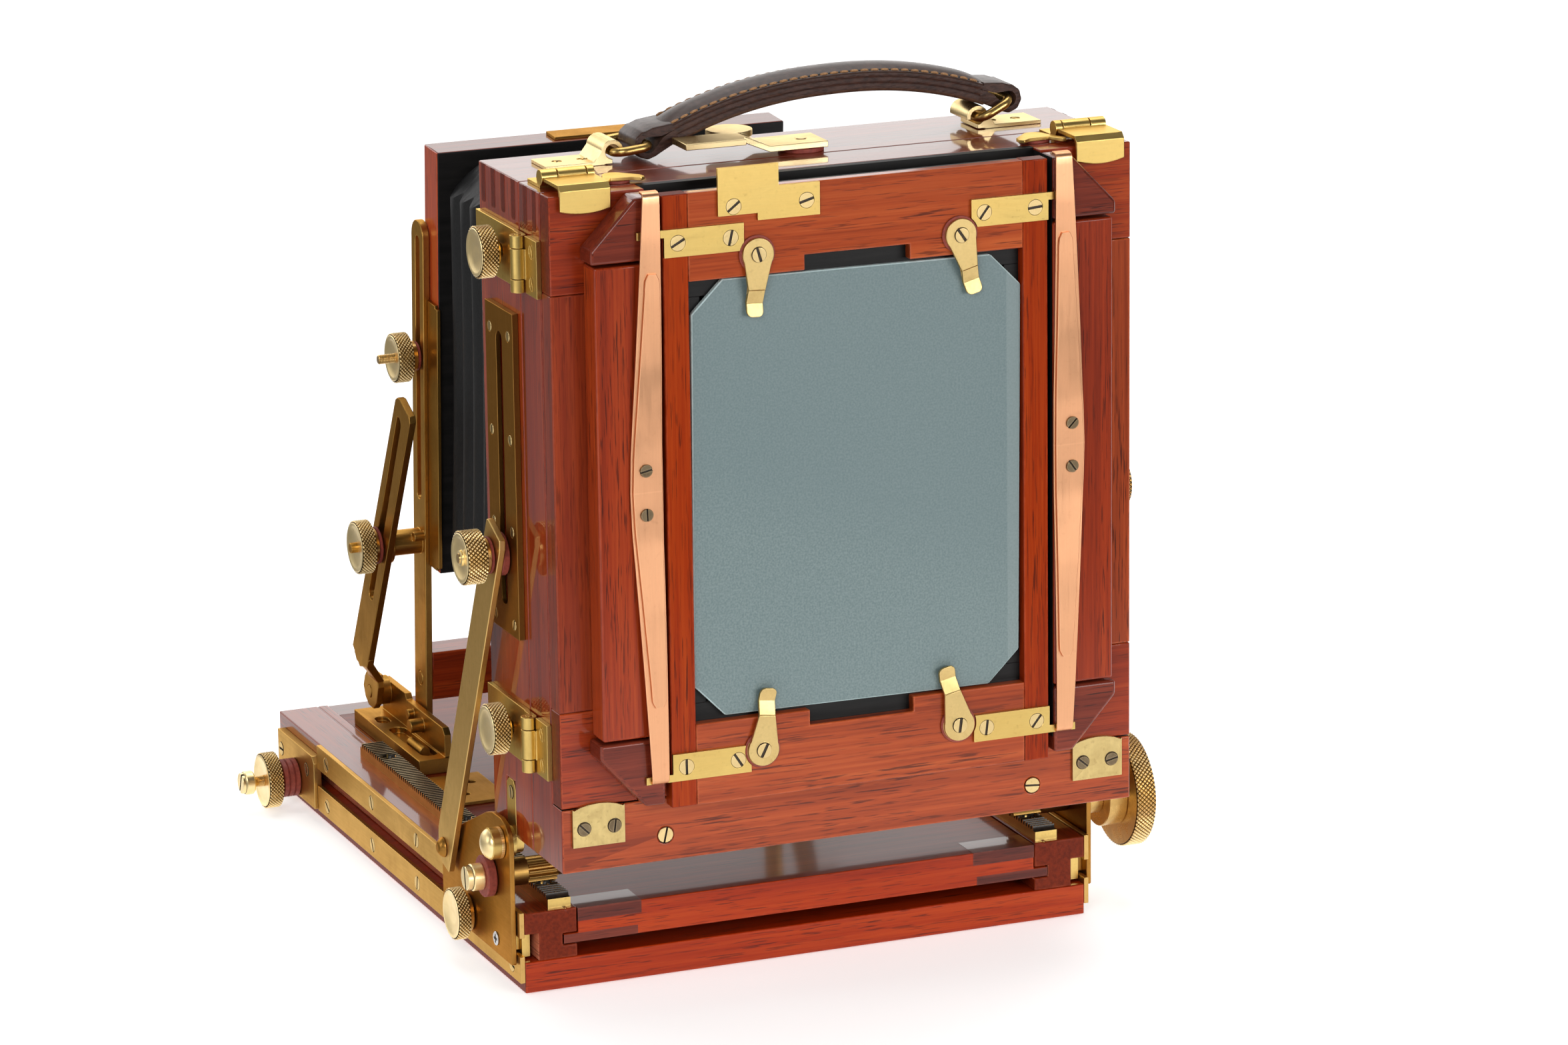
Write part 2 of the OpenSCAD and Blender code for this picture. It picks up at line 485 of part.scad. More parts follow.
// wire loops through the lugs: both lie over to the right and carry the handle
ring_z = body_z1 + 3.6;
ring_y = 40.7;
ring_l = 10.6;
ring_a = [6, 27];        // rise of the left and right loop above level
module ring(x0, a) translate([x0, ring_y, ring_z]) rotate([0, -a, 0]) {
  r = 1.3;
  for (y = [-9, 9]) translate([0, y, 0]) rotate([0, 90, 0]) cylinder(r = r, h = ring_l);
  for (x = [0, ring_l]) translate([x, -9, 0]) rotate([-90, 0, 0]) cylinder(r = r, h = 18);
  for (x = [0, ring_l]) for (y = [-9, 9]) translate([x, y, 0]) sphere(r = r, $fn = 32);
}
module left_ring() color(brass2) ring(-56.4, ring_a[0]);
module right_ring() color(brass2) ring(56.4, ring_a[1]);
h_a = [-56.4 + ring_l * cos(ring_a[0]), ring_z + ring_l * sin(ring_a[0])];
h_b = [56.4 + ring_l * cos(ring_a[1]), ring_z + ring_l * sin(ring_a[1])];
function h_at(u, n) = (h_a + h_b) / 2 + u * (h_b - h_a) / 2 + [0, 11.9 * (1 - pow(abs(u), 2.2)) + n];
hu = [for (i = [-12:12]) i / 12];
// leather grip: an arch whose ends turn back in loops round the wires
module handle() color([0.2, 0.08, 0.06]) translate([0, ring_y - 7, 0]) along_y(0, 14) difference() {
  union() {
    polygon(concat([for (u = hu) h_at(u, 3.7)], [for (i = [24:-1:0]) h_at(hu[i] * 0.93, -3.7)]));
    for (p = [h_a, h_b]) translate(p) circle(r = 3.9);
  }
  slot2d(3.8, h_a, h_a + [1, 0]);
  slot2d(3.8, h_b, h_b - [1, 0]);
}
module centre_catch() {
  color(fibre) difference() { cz(6.6, body_z1, body_z1 + 1.3, -0.4, 30.9); cz(1.6, 230, 260, -0.4, 30.9); }
  color(brass) difference() {
    union() {
      bx(-12.4, 5.4, 24.4, 37.4, body_z1 + 1.4, body_z1 + 3.2);
      along_y(24.4, 37.4) polygon([[-12.4, body_z1 + 1.4], [-12.4, body_z1 + 3.2], [-19.6, body_z1 + 6.4], [-21, body_z1 + 6.4], [-21, body_z1 + 4.6], [-19.9, body_z1 + 4.6]]);
      bx(-39, -20.6, 22, 33.2, body_z1 + 4.6, body_z1 + 6.4);
      cz(6.7, body_z1 + 4.6, body_z1 + 6.4, -19.6, 38);
    }
    cz(1.6, 230, 260, -0.4, 30.9);
  }
  color(brass) cz(1.55, body_z1, body_z1 + 3.4, -0.4, 30.9);
}

// ---- swinging back frame ----
module back_frame() color(mahogany) {
  difference() {
    union() {
      bx(-bw, bw, 7.4, seam_y - 0.25, body_z0, body_z1);
      bx(-bw, bw, 0, 7.4, body_z0, 64.7);
    }
    bx(-62, 62, 7, seam_y + 1, 74, 220);
    both() cy(2.4, -1, 0.46, 57.4, 53.6);
  }
}
module back_fittings() color(brass) {
  both() for (z = hinge_zs) rear_leaf(z);
  both() {
    // plates that hold the lower edge of the reversible back
    difference() {
      along_y(-1, 0) polygon(concat([[70, 53.4], [85.8, 53.4], [85.8, 64.2]], [for (t = [0:6]) let (a = 30 + t * 20) [77.9 + 8.6 * cos(a), 61.2 + 4.8 * sin(a)]], [[70, 64.2]]));
      for (x = [73.2, 82.4]) cy(2, -2, -0.5, x, 58.8);
    }
    for (x = [73.2, 82.4]) head_y(x, -0.45, 58.8, 3.8, x);
    // fixed leaves, outer knuckles and pins of the drop-leaf catches
    difference() {
      union() {
        bx(70.6, 86.4, bc_y + 2.2, 23, body_z1, body_z1 + 1);
        for (k = [[70.6, 72.7], [81.7, 86.4]]) {
          cx(2.3, k[0], k[1], bc_y, bc_z);
          bx(k[0], k[1], bc_y, bc_y + 2.4, body_z1, body_z1 + 1);
          bx(k[0], k[1], bc_y - 0.6, bc_y + 1.9, body_z1, body_z1 + 1.4);
        }
      }
      for (x = [75, 82]) cz(1.3, body_z1 - 1, body_z1 + 2, x, 19.6);
    }
    cx(1, 70.8, 86.2, bc_y, bc_z);
    head_y(57.4, 0.45, 53.6, 4.6, 80);
  }
}
module reversible_back() {
  color(mahogany) difference() {
    bx(-bw, bw, 0, 7.2, 65, body_z1);
    bx(-60.3, 60.3, -1, slot_d, 70, body_z1 + 1);
    bx(-48.8, 48.8, -1, 8, glass_z - 61, glass_z + 61);
  }
  // bevelled rails and corner blocks around the film slot
  color(mahogany) both() {
    along_y(-9, 0) polygon([[60.4, 86], [79, 86], [79, 222.8], [60.4, 222.8]]);
    along_y(-9, 0) polygon([[60.4, 223.6], [80, 223.6], [80, 227.4], [66.4, body_z1 - 0.5], [60.4, body_z1 - 0.5]]);
    along_y(-9, 0) polygon([[60.4, 85.2], [80, 85.2], [80, 80.8], [66.4, 65.6], [60.4, 65.6]]);
  }
}
gf_y0 = -9;
gf_y1 = -4;
module glass_frame() color(redwood) difference() {
  bx(-58.6, 58.6, gf_y0, gf_y1, 64.2, 241.6);
  bx(-51, 51, gf_y0 - 1, -5.6, glass_z - 64.2, glass_z + 64.2);
  bx(-46.5, 46.5, gf_y0 - 1, gf_y1 + 1, glass_z - 59, glass_z + 59);
  bx(-16, 16, gf_y0 - 1, -5.6, glass_z - 68.6, glass_z + 68.6);
  for (c = clips) cy(1.36, gf_y0 - 1, gf_y0 + 1.7, c[0], c[1]);
}
module frame_plates() color(brass) {
  for (k = [[224, 1], [72.2, -1]]) for (m = [0, 1]) difference() {
    mirror([m, 0, 0]) difference() {
    union() {
      bx(34.6, 58.5, gf_y0 - 1, gf_y0, k[0], k[0] + 8);
      bx(58, 66.6, gf_y0 - 1, gf_y0 - 0.2, k[1] > 0 ? k[0] + 5.8 : k[0], k[1] > 0 ? k[0] + 8 : k[0] + 2.2);
    }
    for (x = [38.6, 54.4]) cy(2.3, gf_y0 - 2, gf_y0 - 0.4, x, k[0] + 4);
    }
    for (c = clips) cy(5.5, gf_y0 - 2, gf_y0 + 1, c[0], c[1]);   // room for the clips' washers
  }
  difference() {
    along_y(gf_y0 - 1, gf_y0) polygon([[-42.3, 234.3], [-42.3, 248], [-24, 248], [-24, 241.6], [-11.6, 241.6], [-11.6, 232.2], [-30.4, 232.2], [-30.4, 234.3]]);
    for (p = [[-37.6, 236.8], [-15.6, 236.6]]) cy(2.3, gf_y0 - 2, gf_y0 - 0.4, p[0], p[1]);
  }
  for (s = [-1, 1]) for (x = [38.6, 54.4]) { head_y(s * x, gf_y0 - 0.42, 228, 4.5, x * 3 + s * 12); head_y(s * x, gf_y0 - 0.42, 76.2, 4.5, x * 2 + s * 20); }
  for (p = [[-37.6, 236.8], [-15.6, 236.6]]) head_y(p[0], gf_y0 - 0.42, p[1], 4.5, p[0]);
}
gc = 9.4;
module ground_glass() color([0.55, 0.62, 0.62, 0.8]) translate([0, -5.7, glass_z]) rotate([0, 0.5, 0]) rotate([90, 0, 0]) linear_extrude(1.9)
  intersection() {
    square([glass_w, glass_h], center = true);
    rotate(45) square([(glass_w + glass_h - 2 * gc) / sqrt(2), (glass_w + glass_h - 2 * gc) / sqrt(2)], center = true);
  }
module springs() both() {
  for (m = [0, 1]) translate([0, 0, 157.8]) mirror([0, 0, m]) color(copper) {
    // bowed main leaf: foot on the rail, tip over the frame's tongue
    intersection() {
      along_x(59, 70) polygon([[-9.1, -e], [-9.9, -e], [-9.9, 14], [-11.3, 55], [-11.5, 85.6], [-10.3, 85.6], [-10.5, 55], [-9.1, 16]]);
      along_y(-14, 0) polygon([[60, -e], [69.8, -e], [69.2, 12], [65.2, 85.6], [60.2, 85.6]]);
    }
    intersection() {
      along_x(59, 70) polygon([[-9.95, -e], [-10.7, -e], [-10.7, 14], [-12, 55], [-12.1, 62.6], [-11.6, 62.6], [-11.35, 55], [-9.95, 14]]);
      along_y(-14, 0) polygon([[60.6, -e], [69, -e], [68.2, 12], [64.6, 60], [63.6, 62.6], [61.4, 62.6], [60.8, 60]]);
    }
  }
  color(steel) for (z = [164.2, 151.4]) head_y(65.4, -10.72, z, 3.6, z);
}
clips = [[-30.6, 222.6, -1, 3], [31.2, 222.3, -1, -15], [-31, 78.4, 1, 7], [29.8, 78.2, 1, -12]];
module clip(s) {
  color(fibre) difference() { cy(5.4, gf_y0 - 0.7, gf_y0, 0, 0); cy(1.35, -20, 0, 0, 0); }
  color(brass) difference() {
    union() {
      along_y(gf_y0 - 1.7, gf_y0 - 0.7) union() {
        circle(d = 9.4);
        polygon([[-4.6, 0], [4.6, 0], [2.5, -10.2], [-2.5, -10.2]]);
      }
      along_x(-2.5, 2.5) polygon([[gf_y0 - 1.7, -10], [gf_y0 - 0.7, -10], [gf_y0 + 1.1, -13.8], [gf_y0 - 0.2, -18], [gf_y0 - 1.2, -18], [gf_y0 - 0.1, -14.2]]);
    }
    cy(1.35, -20, 0, 0, 0);
  }
  color(brass) head_y(0, gf_y0 - 1.7, 0, 4.4, 70);
  color(brass) cy(1.3, gf_y0 - 1.8, gf_y0 + 1.5, 0, 0);
}
module put_clip(c) translate([c[0], 0, c[1]]) rotate([0, c[3], 0]) mirror([0, 0, c[2] > 0 ? 1 : 0]) clip();
module upper_left_clip() put_clip(clips[0]);
module upper_right_clip() put_clip(clips[1]);
module lower_left_clip() put_clip(clips[2]);
module lower_right_clip() put_clip(clips[3]);
bc_y = 13.4;
bc_z = body_z1 + 2.9;
// drop-leaf catches that hook over the back's top edge
module back_catch() color(brass) {
  difference() {
    union() {
      cx(2.3, 73, 81.4, bc_y, bc_z);
      along_x(71, 86) polygon([[-1.9, bc_z - 6.8], [-0.9, bc_z - 7.2], [-0.8, bc_z - 2], [0, bc_z - 0.8], [11, bc_z - 0.8], [11, bc_z + 0.4], [-0.4, bc_z + 0.4], [-1.9, bc_z - 1.2]]);
      along_x(73, 81.4) polygon([[10.8, bc_z - 0.8], [bc_y, bc_z - 0.8], [bc_y, bc_z + 0.8], [10.8, bc_z + 0.4]]);
    }
    cx(1.06, 60, 100, bc_y, bc_z);
  }
}
module left_back_catch() mirror([1, 0, 0]) back_catch();
module right_back_catch() back_catch();
module catch_lever() {
  color(fibre) cz(4.4, body_z1, body_z1 + 0.8, 64.4, 12.6);
  color(brass) translate([0, 0, body_z1 + 0.9]) linear_extrude(1) union() {
    translate([64.4, 12.6]) circle(r = 3.5);
    polygon([[62.3, 15.4], [57.6, 10.2], [57.2, 7.4], [58.6, 6.4], [61, 8], [67, 8.6], [69.4, 4.2], [70.6, 4.2], [70.6, 6], [67.9, 12.6]]);
  }
}
module left_catch_lever() mirror([1, 0, 0]) catch_lever();
module right_catch_lever() catch_lever();

// ---- bellows ----
by0 = 24;
by1 = 187.2;
// k leans a ring with the front standard
function ring8(y, w, h, zc, c, k) = [for (p = [[w - c, -h], [w, -h + c], [w, h - c], [w - c, h], [-w + c, h], [-w, h - c], [-w, -h + c], [-w + c, -h]]) [p[0], y - k * p[1], zc + p[1]]];
function mix(a, b, t) = a + (b - a) * t;
nb = 2 * folds;
// one thin pleated skin: outer and inner rings zig-zag from the back frame to the lens frame
module bellows() color(black) polyhedron(
  points = concat(
    [for (i = [0:nb]) let (t = i / nb, d = (i % 2 == 0) ? 3 : 0) each ring8(mix(by0, by1, t), mix(71, 54.5, t) - d, mix(80, 62.5, t) - d, mix(146.5, 151, t), 9, t * sin(lean))],
    [for (i = [0:nb]) let (t = i / nb, d = (i % 2 == 0) ? 3 : 0) each ring8(mix(by0, by1, t), mix(71, 54.5, t) - d - 0.8, mix(80, 62.5, t) - d - 0.8, mix(146.5, 151, t), 8.6, t * sin(lean))]),
  faces = concat(
    [for (i = [0:nb - 1]) for (j = [0:7]) each [[i * 8 + j, i * 8 + (j + 1) % 8, (i + 1) * 8 + (j + 1) % 8], [i * 8 + j, (i + 1) * 8 + (j + 1) % 8, (i + 1) * 8 + j]]],
    [for (i = [0:nb - 1]) let (o = (nb + 1) * 8) for (j = [0:7]) each [[o + i * 8 + j, o + (i + 1) * 8 + (j + 1) % 8, o + i * 8 + (j + 1) % 8], [o + i * 8 + j, o + (i + 1) * 8 + j, o + (i + 1) * 8 + (j + 1) % 8]]],
    [for (j = [0:7]) let (o = (nb + 1) * 8) each [[j, o + j, o + (j + 1) % 8], [j, o + (j + 1) % 8, (j + 1) % 8]]],
    [for (j = [0:7]) let (o = (nb + 1) * 8, k = nb * 8) each [[k + j, k + (j + 1) % 8, o + k + (j + 1) % 8], [k + j, o + k + (j + 1) % 8, o + k + j]]]));

place() base_plank();
place() tripod_bush();
place() side_rails();
place() focus_racks();
place() slide_strips();
place() base_screws();
place() bed_lock_knob();
place() bed_panel();
place() bed_fittings();
place() uprights();
place() cross_member();
place() left_tilt_strut();
place() right_tilt_strut();
place() left_tilt_knob();
place() right_tilt_knob();
place() lens_frame();
place() lens_board();
place() lens_flange();
place() frame_guides();
place() left_rise_knob();
place() right_rise_knob();
place() side_plates();
place() slide_nuts();
place() focus_pinion();
place() focus_knob();
place() carriage_lock_knob();
place() body_box();
place() slot_plates();
place() pivot_fittings();
place() left_rear_strut();
place() right_rear_strut();
place() left_strut_knob();
place() right_strut_knob();
place() upper_left_hinge_knob();
place() lower_left_hinge_knob();
place() upper_right_hinge_knob();
place() lower_right_hinge_knob();
place() left_hinge_leaves();
place() right_hinge_leaves();
place() handle_fittings();
place() left_ring();
place() right_ring();
place() handle();
place() centre_catch();
place() back_frame();
place() back_fittings();
place() reversible_back();
place() glass_frame();
place() frame_plates();
place() ground_glass();
place() springs();
place() upper_left_clip();
place() upper_right_clip();
place() lower_left_clip();
place() lower_right_clip();
place() left_back_catch();
place() right_back_catch();
place() left_catch_lever();
place() right_catch_lever();
place() bellows();
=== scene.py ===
import json
import math
import bpy
import bmesh
from mathutils import Vector, Matrix


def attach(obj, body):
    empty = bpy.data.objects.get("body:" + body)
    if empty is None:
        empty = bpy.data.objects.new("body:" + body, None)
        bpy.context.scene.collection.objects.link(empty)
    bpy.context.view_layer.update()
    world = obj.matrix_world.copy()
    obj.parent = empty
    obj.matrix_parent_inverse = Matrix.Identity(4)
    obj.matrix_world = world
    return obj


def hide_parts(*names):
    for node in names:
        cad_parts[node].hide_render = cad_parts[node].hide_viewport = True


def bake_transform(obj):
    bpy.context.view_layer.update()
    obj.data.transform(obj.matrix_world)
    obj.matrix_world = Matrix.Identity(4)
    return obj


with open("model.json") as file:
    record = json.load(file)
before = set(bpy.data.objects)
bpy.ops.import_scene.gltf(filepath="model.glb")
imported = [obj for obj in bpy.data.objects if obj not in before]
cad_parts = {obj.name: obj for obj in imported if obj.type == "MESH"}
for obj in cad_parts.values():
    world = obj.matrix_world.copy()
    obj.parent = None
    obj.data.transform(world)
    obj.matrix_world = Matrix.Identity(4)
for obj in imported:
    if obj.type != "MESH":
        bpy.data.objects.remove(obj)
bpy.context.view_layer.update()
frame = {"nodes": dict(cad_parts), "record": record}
nodes = frame["nodes"]
S = 0.001
BUSH_Y = 146.0
D2R = math.pi / 180


def P(x, y, z):
    """Millimetres measured from the rear face of the back, to scene metres."""
    return Vector((x * S, (y - BUSH_Y) * S, z * S))


# ------------------------------------------------------------------ materials
def new_mat(name):
    m = bpy.data.materials.new(name)
    m.use_nodes = True
    nt = m.node_tree
    nt.nodes.clear()
    out = nt.nodes.new("ShaderNodeOutputMaterial")
    bs = nt.nodes.new("ShaderNodeBsdfPrincipled")
    nt.links.new(bs.outputs[0], out.inputs[0])
    return m, nt, bs


class G:
    """Small helper that builds a node graph."""

    def __init__(self, nt):
        self.nt = nt

    def n(self, kind, **kw):
        node = self.nt.nodes.new("ShaderNode" + kind)
        for k, v in kw.items():
            setattr(node, k, v)
        return node

    def link(self, a, b):
        self.nt.links.new(a, b)

    def coords(self, scale=(1, 1, 1), rot=(0, 0, 0), loc=(0, 0, 0), shift=None):
        tc = self.n("TexCoord")
        mp = self.n("Mapping")
        mp.inputs["Scale"].default_value = scale
        mp.inputs["Rotation"].default_value = rot
        mp.inputs["Location"].default_value = loc
        if shift is None:
            self.link(tc.outputs["Object"], mp.inputs["Vector"])
        else:
            add = self.n("VectorMath", operation="ADD")
            self.link(tc.outputs["Object"], add.inputs[0])
            self.link(shift, add.inputs[1])
            self.link(add.outputs[0], mp.inputs["Vector"])
        return mp.outputs[0]

    def noise(self, vec, scale, detail=3, rough=0.55, dist=0.0):
        t = self.n("TexNoise")
        t.inputs["Scale"].default_value = scale
        t.inputs["Detail"].default_value = detail
        t.inputs["Roughness"].default_value = rough
        t.inputs["Distortion"].default_value = dist
        self.link(vec, t.inputs["Vector"])
        return t.outputs["Fac"]

    def ramp(self, fac, stops, interp="LINEAR"):
        r = self.n("ValToRGB")
        cr = r.color_ramp
        cr.interpolation = interp
        while len(cr.elements) < len(stops):
            cr.elements.new(0.5)
        for e, (p, c) in zip(cr.elements, stops):
            e.position = p
            e.color = (c[0], c[1], c[2], 1) if isinstance(c, (tuple, list)) else (c, c, c, 1)
        self.link(fac, r.inputs[0])
        return r.outputs[0]

    def mix(self, fac, a, b, blend="MIX"):
        m = self.n("Mix", data_type="RGBA", blend_type=blend)
        for s, v in ((0, fac), (6, a), (7, b)):
            if isinstance(v, (int, float)):
                m.inputs[s].default_value = v if s == 0 else (v, v, v, 1)
            elif isinstance(v, (tuple, list)):
                m.inputs[s].default_value = (v[0], v[1], v[2], 1)
            else:
                self.link(v, m.inputs[s])
        return m.outputs[2]

    def math(self, op, a, b=None, clamp=False):
        m = self.n("Math", operation=op, use_clamp=clamp)
        for i, v in enumerate((a, b)):
            if v is None:
                continue
            if isinstance(v, (int, float)):
                m.inputs[i].default_value = v
            else:
                self.link(v, m.inputs[i])
        return m.outputs[0]

    def range(self, v, a, b, c=0.0, d=1.0):
        m = self.n("MapRange")
        self.link(v, m.inputs["Value"])
        for k, x in (("From Min", a), ("From Max", b), ("To Min", c), ("To Max", d)):
            m.inputs[k].default_value = x
        return m.outputs[0]

    def bump(self, height, strength, distance, normal=None):
        b = self.n("Bump")
        b.inputs["Strength"].default_value = strength
        b.inputs["Distance"].default_value = distance
        self.link(height, b.inputs["Height"])
        if normal is not None:
            self.link(normal, b.inputs["Normal"])
        return b.outputs[0]

    def island(self):
        g = self.n("NewGeometry")
        return g.outputs["Random Per Island"]

    def edge_mask(self, radius, lo, hi):
        """1 on convex and concave edges, from the rounded normal."""
        bv = self.n("Bevel", samples=4)
        bv.inputs["Radius"].default_value = radius
        g = self.n("NewGeometry")
        dot = self.n("VectorMath", operation="DOT_PRODUCT")
        self.link(bv.outputs[0], dot.inputs[0])
        self.link(g.outputs["Normal"], dot.inputs[1])
        return self.range(dot.outputs["Value"], hi, lo)


AX = {"x": 0, "y": 1, "z": 2}


def wood(name, axis, dark, mid, light, pore=(0.030, 0.005, 0.0025), rough=0.36, coat=0.85, coat_rough=0.07, pores=0.75,
         end=0.55, wear_and_highlight=0.35, vary=0.16, band=1.0, ior=1.33, spec=0.12):
    m, nt, bs = new_mat(name)
    g = G(nt)
    i = AX[axis]
    isl = g.island()
    sh = g.n("CombineXYZ")
    for k in range(3):
        g.link(g.math("MULTIPLY", isl, (0.73, 1.31, 1.93)[k]), sh.inputs[k])
    shift = sh.outputs[0]

    def sc(a, b):
        v = [a, a, a]
        v[i] = b
        return tuple(v)
    wob = g.noise(g.coords(sc(1, 0.12), shift=shift), 26, 2, 0.5)
    big = g.noise(g.coords(sc(1, 0.020), shift=shift), 240, 3, 0.6, 0.15)
    fine = g.noise(g.coords(sc(1, 0.016), shift=shift), 1100, 4, 0.65, 0.05)
    pr = g.noise(g.coords(sc(1, 0.045), shift=shift), 2100, 2, 0.5, 0.0)
    cloud = g.noise(g.coords(sc(1, 0.35), shift=shift), 20, 3, 0.6, 0.3)
    t = g.math("ADD", g.math("MULTIPLY", big, 0.50 * band), g.math("MULTIPLY", fine, 0.50))
    t = g.math("ADD", t, g.math("MULTIPLY", g.math("SUBTRACT", wob, 0.5), 0.55))
    t = g.math("ADD", t, g.math("MULTIPLY", g.math("SUBTRACT", isl, 0.5), vary))
    col = g.ramp(t, [(0.30, dark), (0.50, mid), (0.72, light)])
    pm = g.ramp(pr, [(0.0, 0.0), (0.565, 0.0), (0.65, 1.0)])
    gate = g.ramp(g.noise(g.coords(sc(1, 0.10), shift=shift), 130, 2), [(0.38, 0.25), (0.60, 1.0)])
    pm = g.mix(1.0, pm, gate, "MULTIPLY")
    pmv = g.math("MULTIPLY", pm, pores)
    col = g.mix(pmv, col, pore)
    col = g.mix(g.range(cloud, 0.45, 0.80, 0.0, 0.30), col, dark)
    # end grain
    geo = g.n("NewGeometry")
    ax = [0, 0, 0]
    ax[i] = 1
    dot = g.n("VectorMath", operation="DOT_PRODUCT")
    g.link(geo.outputs["True Normal"], dot.inputs[0])
    dot.inputs[1].default_value = ax
    eg = g.range(g.math("ABSOLUTE", dot.outputs["Value"]), 0.75, 0.92)
    dots = g.noise(g.coords((1, 1, 1), shift=shift), 900, 3, 0.6)
    egc = g.ramp(dots, [(0.30, tuple(c * end * 0.62 for c in mid)), (0.62, tuple(c * end for c in mid))])
    col = g.mix(eg, col, egc)
    # rounded edges, convex and concave, turn lighter: partly wear, partly painted highlight
    if wear_and_highlight > 0:
        e = g.edge_mask(0.0009, 0.90, 0.995)
        wn = g.ramp(g.noise(g.coords((1, 1, 1)), 260, 3, 0.6), [(0.38, 0.0), (0.62, 1.0)])
        em = g.math("MULTIPLY", g.math("MULTIPLY", e, wear_and_highlight), wn)
        col = g.mix(em, col, tuple(min(1, c * 1.5 + 0.03) for c in light))
    g.link(col, bs.inputs["Base Color"])
    rg = g.math("ADD", g.math("MULTIPLY", fine, 0.12), rough - 0.06)
    g.link(rg, bs.inputs["Roughness"])
    g.link(g.range(eg, 0.0, 1.0, coat, coat * 0.12), bs.inputs["Coat Weight"])
    bs.inputs["Coat Roughness"].default_value = coat_rough
    bs.inputs["Coat IOR"].default_value = ior
    bs.inputs["IOR"].default_value = 1.45
    bs.inputs["Specular IOR Level"].default_value = spec
    h = g.math("SUBTRACT", g.math("MULTIPLY", fine, 0.35), pm)
    undul = g.noise(g.coords(sc(1, 0.3), shift=shift), 60, 2, 0.5)
    b1 = g.bump(undul, 0.06, 0.0006)
    b2 = g.bump(h, 0.22, 0.00007, b1)
    g.link(b2, bs.inputs["Normal"])
    g.link(g.bump(undul, 0.05, 0.0006), bs.inputs["Coat Normal"])
    return m


def metal(name, base, dark, rough=0.3, brush=None, patina=0.45, scale=70, grain=0.5, streak=0.06, edge=0.35, bright=None):
    """Sheet or cast brass: brushed along an axis, with a patchy patina and worn bright edges."""
    m, nt, bs = new_mat(name)
    g = G(nt)
    bs.inputs["Metallic"].default_value = 1.0
    k = max(base)
    bs.inputs["Specular Tint"].default_value = tuple(0.44 + 0.52 * c / k for c in base) + (1,)
    isl = g.island()
    sh = g.n("CombineXYZ")
    for k in range(3):
        g.link(g.math("MULTIPLY", isl, (0.61, 1.17, 1.71)[k]), sh.inputs[k])
    v = [1, 1, 1]
    if brush:
        v[AX[brush]] = streak
    lines = g.noise(g.coords(tuple(v), shift=sh.outputs[0]), 1500, 3, 0.6)
    cloud = g.noise(g.coords((1, 1, 1), shift=sh.outputs[0]), scale, 5, 0.62, 0.5)
    spots = g.noise(g.coords((1, 1, 1), shift=sh.outputs[0]), 650, 3, 0.55)
    t = g.ramp(cloud, [(0.36, 0.0), (0.72, 1.0)])
    col = g.mix(g.math("MULTIPLY", t, patina), base, dark)
    col = g.mix(g.range(spots, 0.60, 0.74, 0.0, 0.55 * patina + 0.1), col, dark)
    col = g.mix(g.range(lines, 0.35, 0.65, 0.0, 0.16), col, tuple(c * 0.62 for c in base))
    if edge > 0:
        e = g.edge_mask(0.00045, 0.88, 0.99)
        col = g.mix(g.math("MULTIPLY", e, edge), col, bright or tuple(min(1, c * 1.25 + 0.05) for c in base))
    g.link(col, bs.inputs["Base Color"])
    r = g.math("ADD", g.math("MULTIPLY", lines, 0.16), rough - 0.08)
    r = g.math("ADD", r, g.math("MULTIPLY", t, 0.10))
    g.link(r, bs.inputs["Roughness"])
    h = g.math("ADD", g.math("MULTIPLY", lines, grain), g.math("MULTIPLY", spots, 0.25))
    g.link(g.bump(h, 0.10, 0.00004), bs.inputs["Normal"])
    return m


def turned(name, base, dark, rough=0.22, patina=0.3, rings=5200):
    """Lathe-turned brass. The piece's own Z is the turning axis, so rings show on its faces."""
    m, nt, bs = new_mat(name)
    g = G(nt)
    bs.inputs["Metallic"].default_value = 1.0
    tc = g.n("TexCoord")
    sep = g.n("SeparateXYZ")
    g.link(tc.outputs["Object"], sep.inputs[0])
    r2 = g.math("ADD", g.math("MULTIPLY", sep.outputs[0], sep.outputs[0]), g.math("MULTIPLY", sep.outputs[1], sep.outputs[1]))
    r = g.math("SQRT", r2)
    cb = g.n("CombineXYZ")
    g.link(r, cb.inputs[0])
    g.link(sep.outputs[2], cb.inputs[1])
    ring = g.n("TexNoise")
    ring.inputs["Scale"].default_value = rings
    ring.inputs["Detail"].default_value = 2
    g.link(cb.outputs[0], ring.inputs["Vector"])
    cloud = g.noise(g.coords(), 260, 4, 0.6, 0.4)
    t = g.ramp(cloud, [(0.42, 0.0), (0.75, 1.0)])
    col = g.mix(g.math("MULTIPLY", t, patina), base, dark)
    e = g.edge_mask(0.0004, 0.86, 0.99)
    col = g.mix(g.math("MULTIPLY", e, 0.3), col, tuple(min(1, c * 1.2 + 0.08) for c in base))
    g.link(col, bs.inputs["Base Color"])
    rr = g.math("ADD", g.math("MULTIPLY", ring.outputs["Fac"], 0.14), rough - 0.07)
    g.link(g.math("ADD", rr, g.math("MULTIPLY", t, 0.12)), bs.inputs["Roughness"])
    g.link(g.bump(ring.outputs["Fac"], 0.12, 0.00003), bs.inputs["Normal"])
    return m


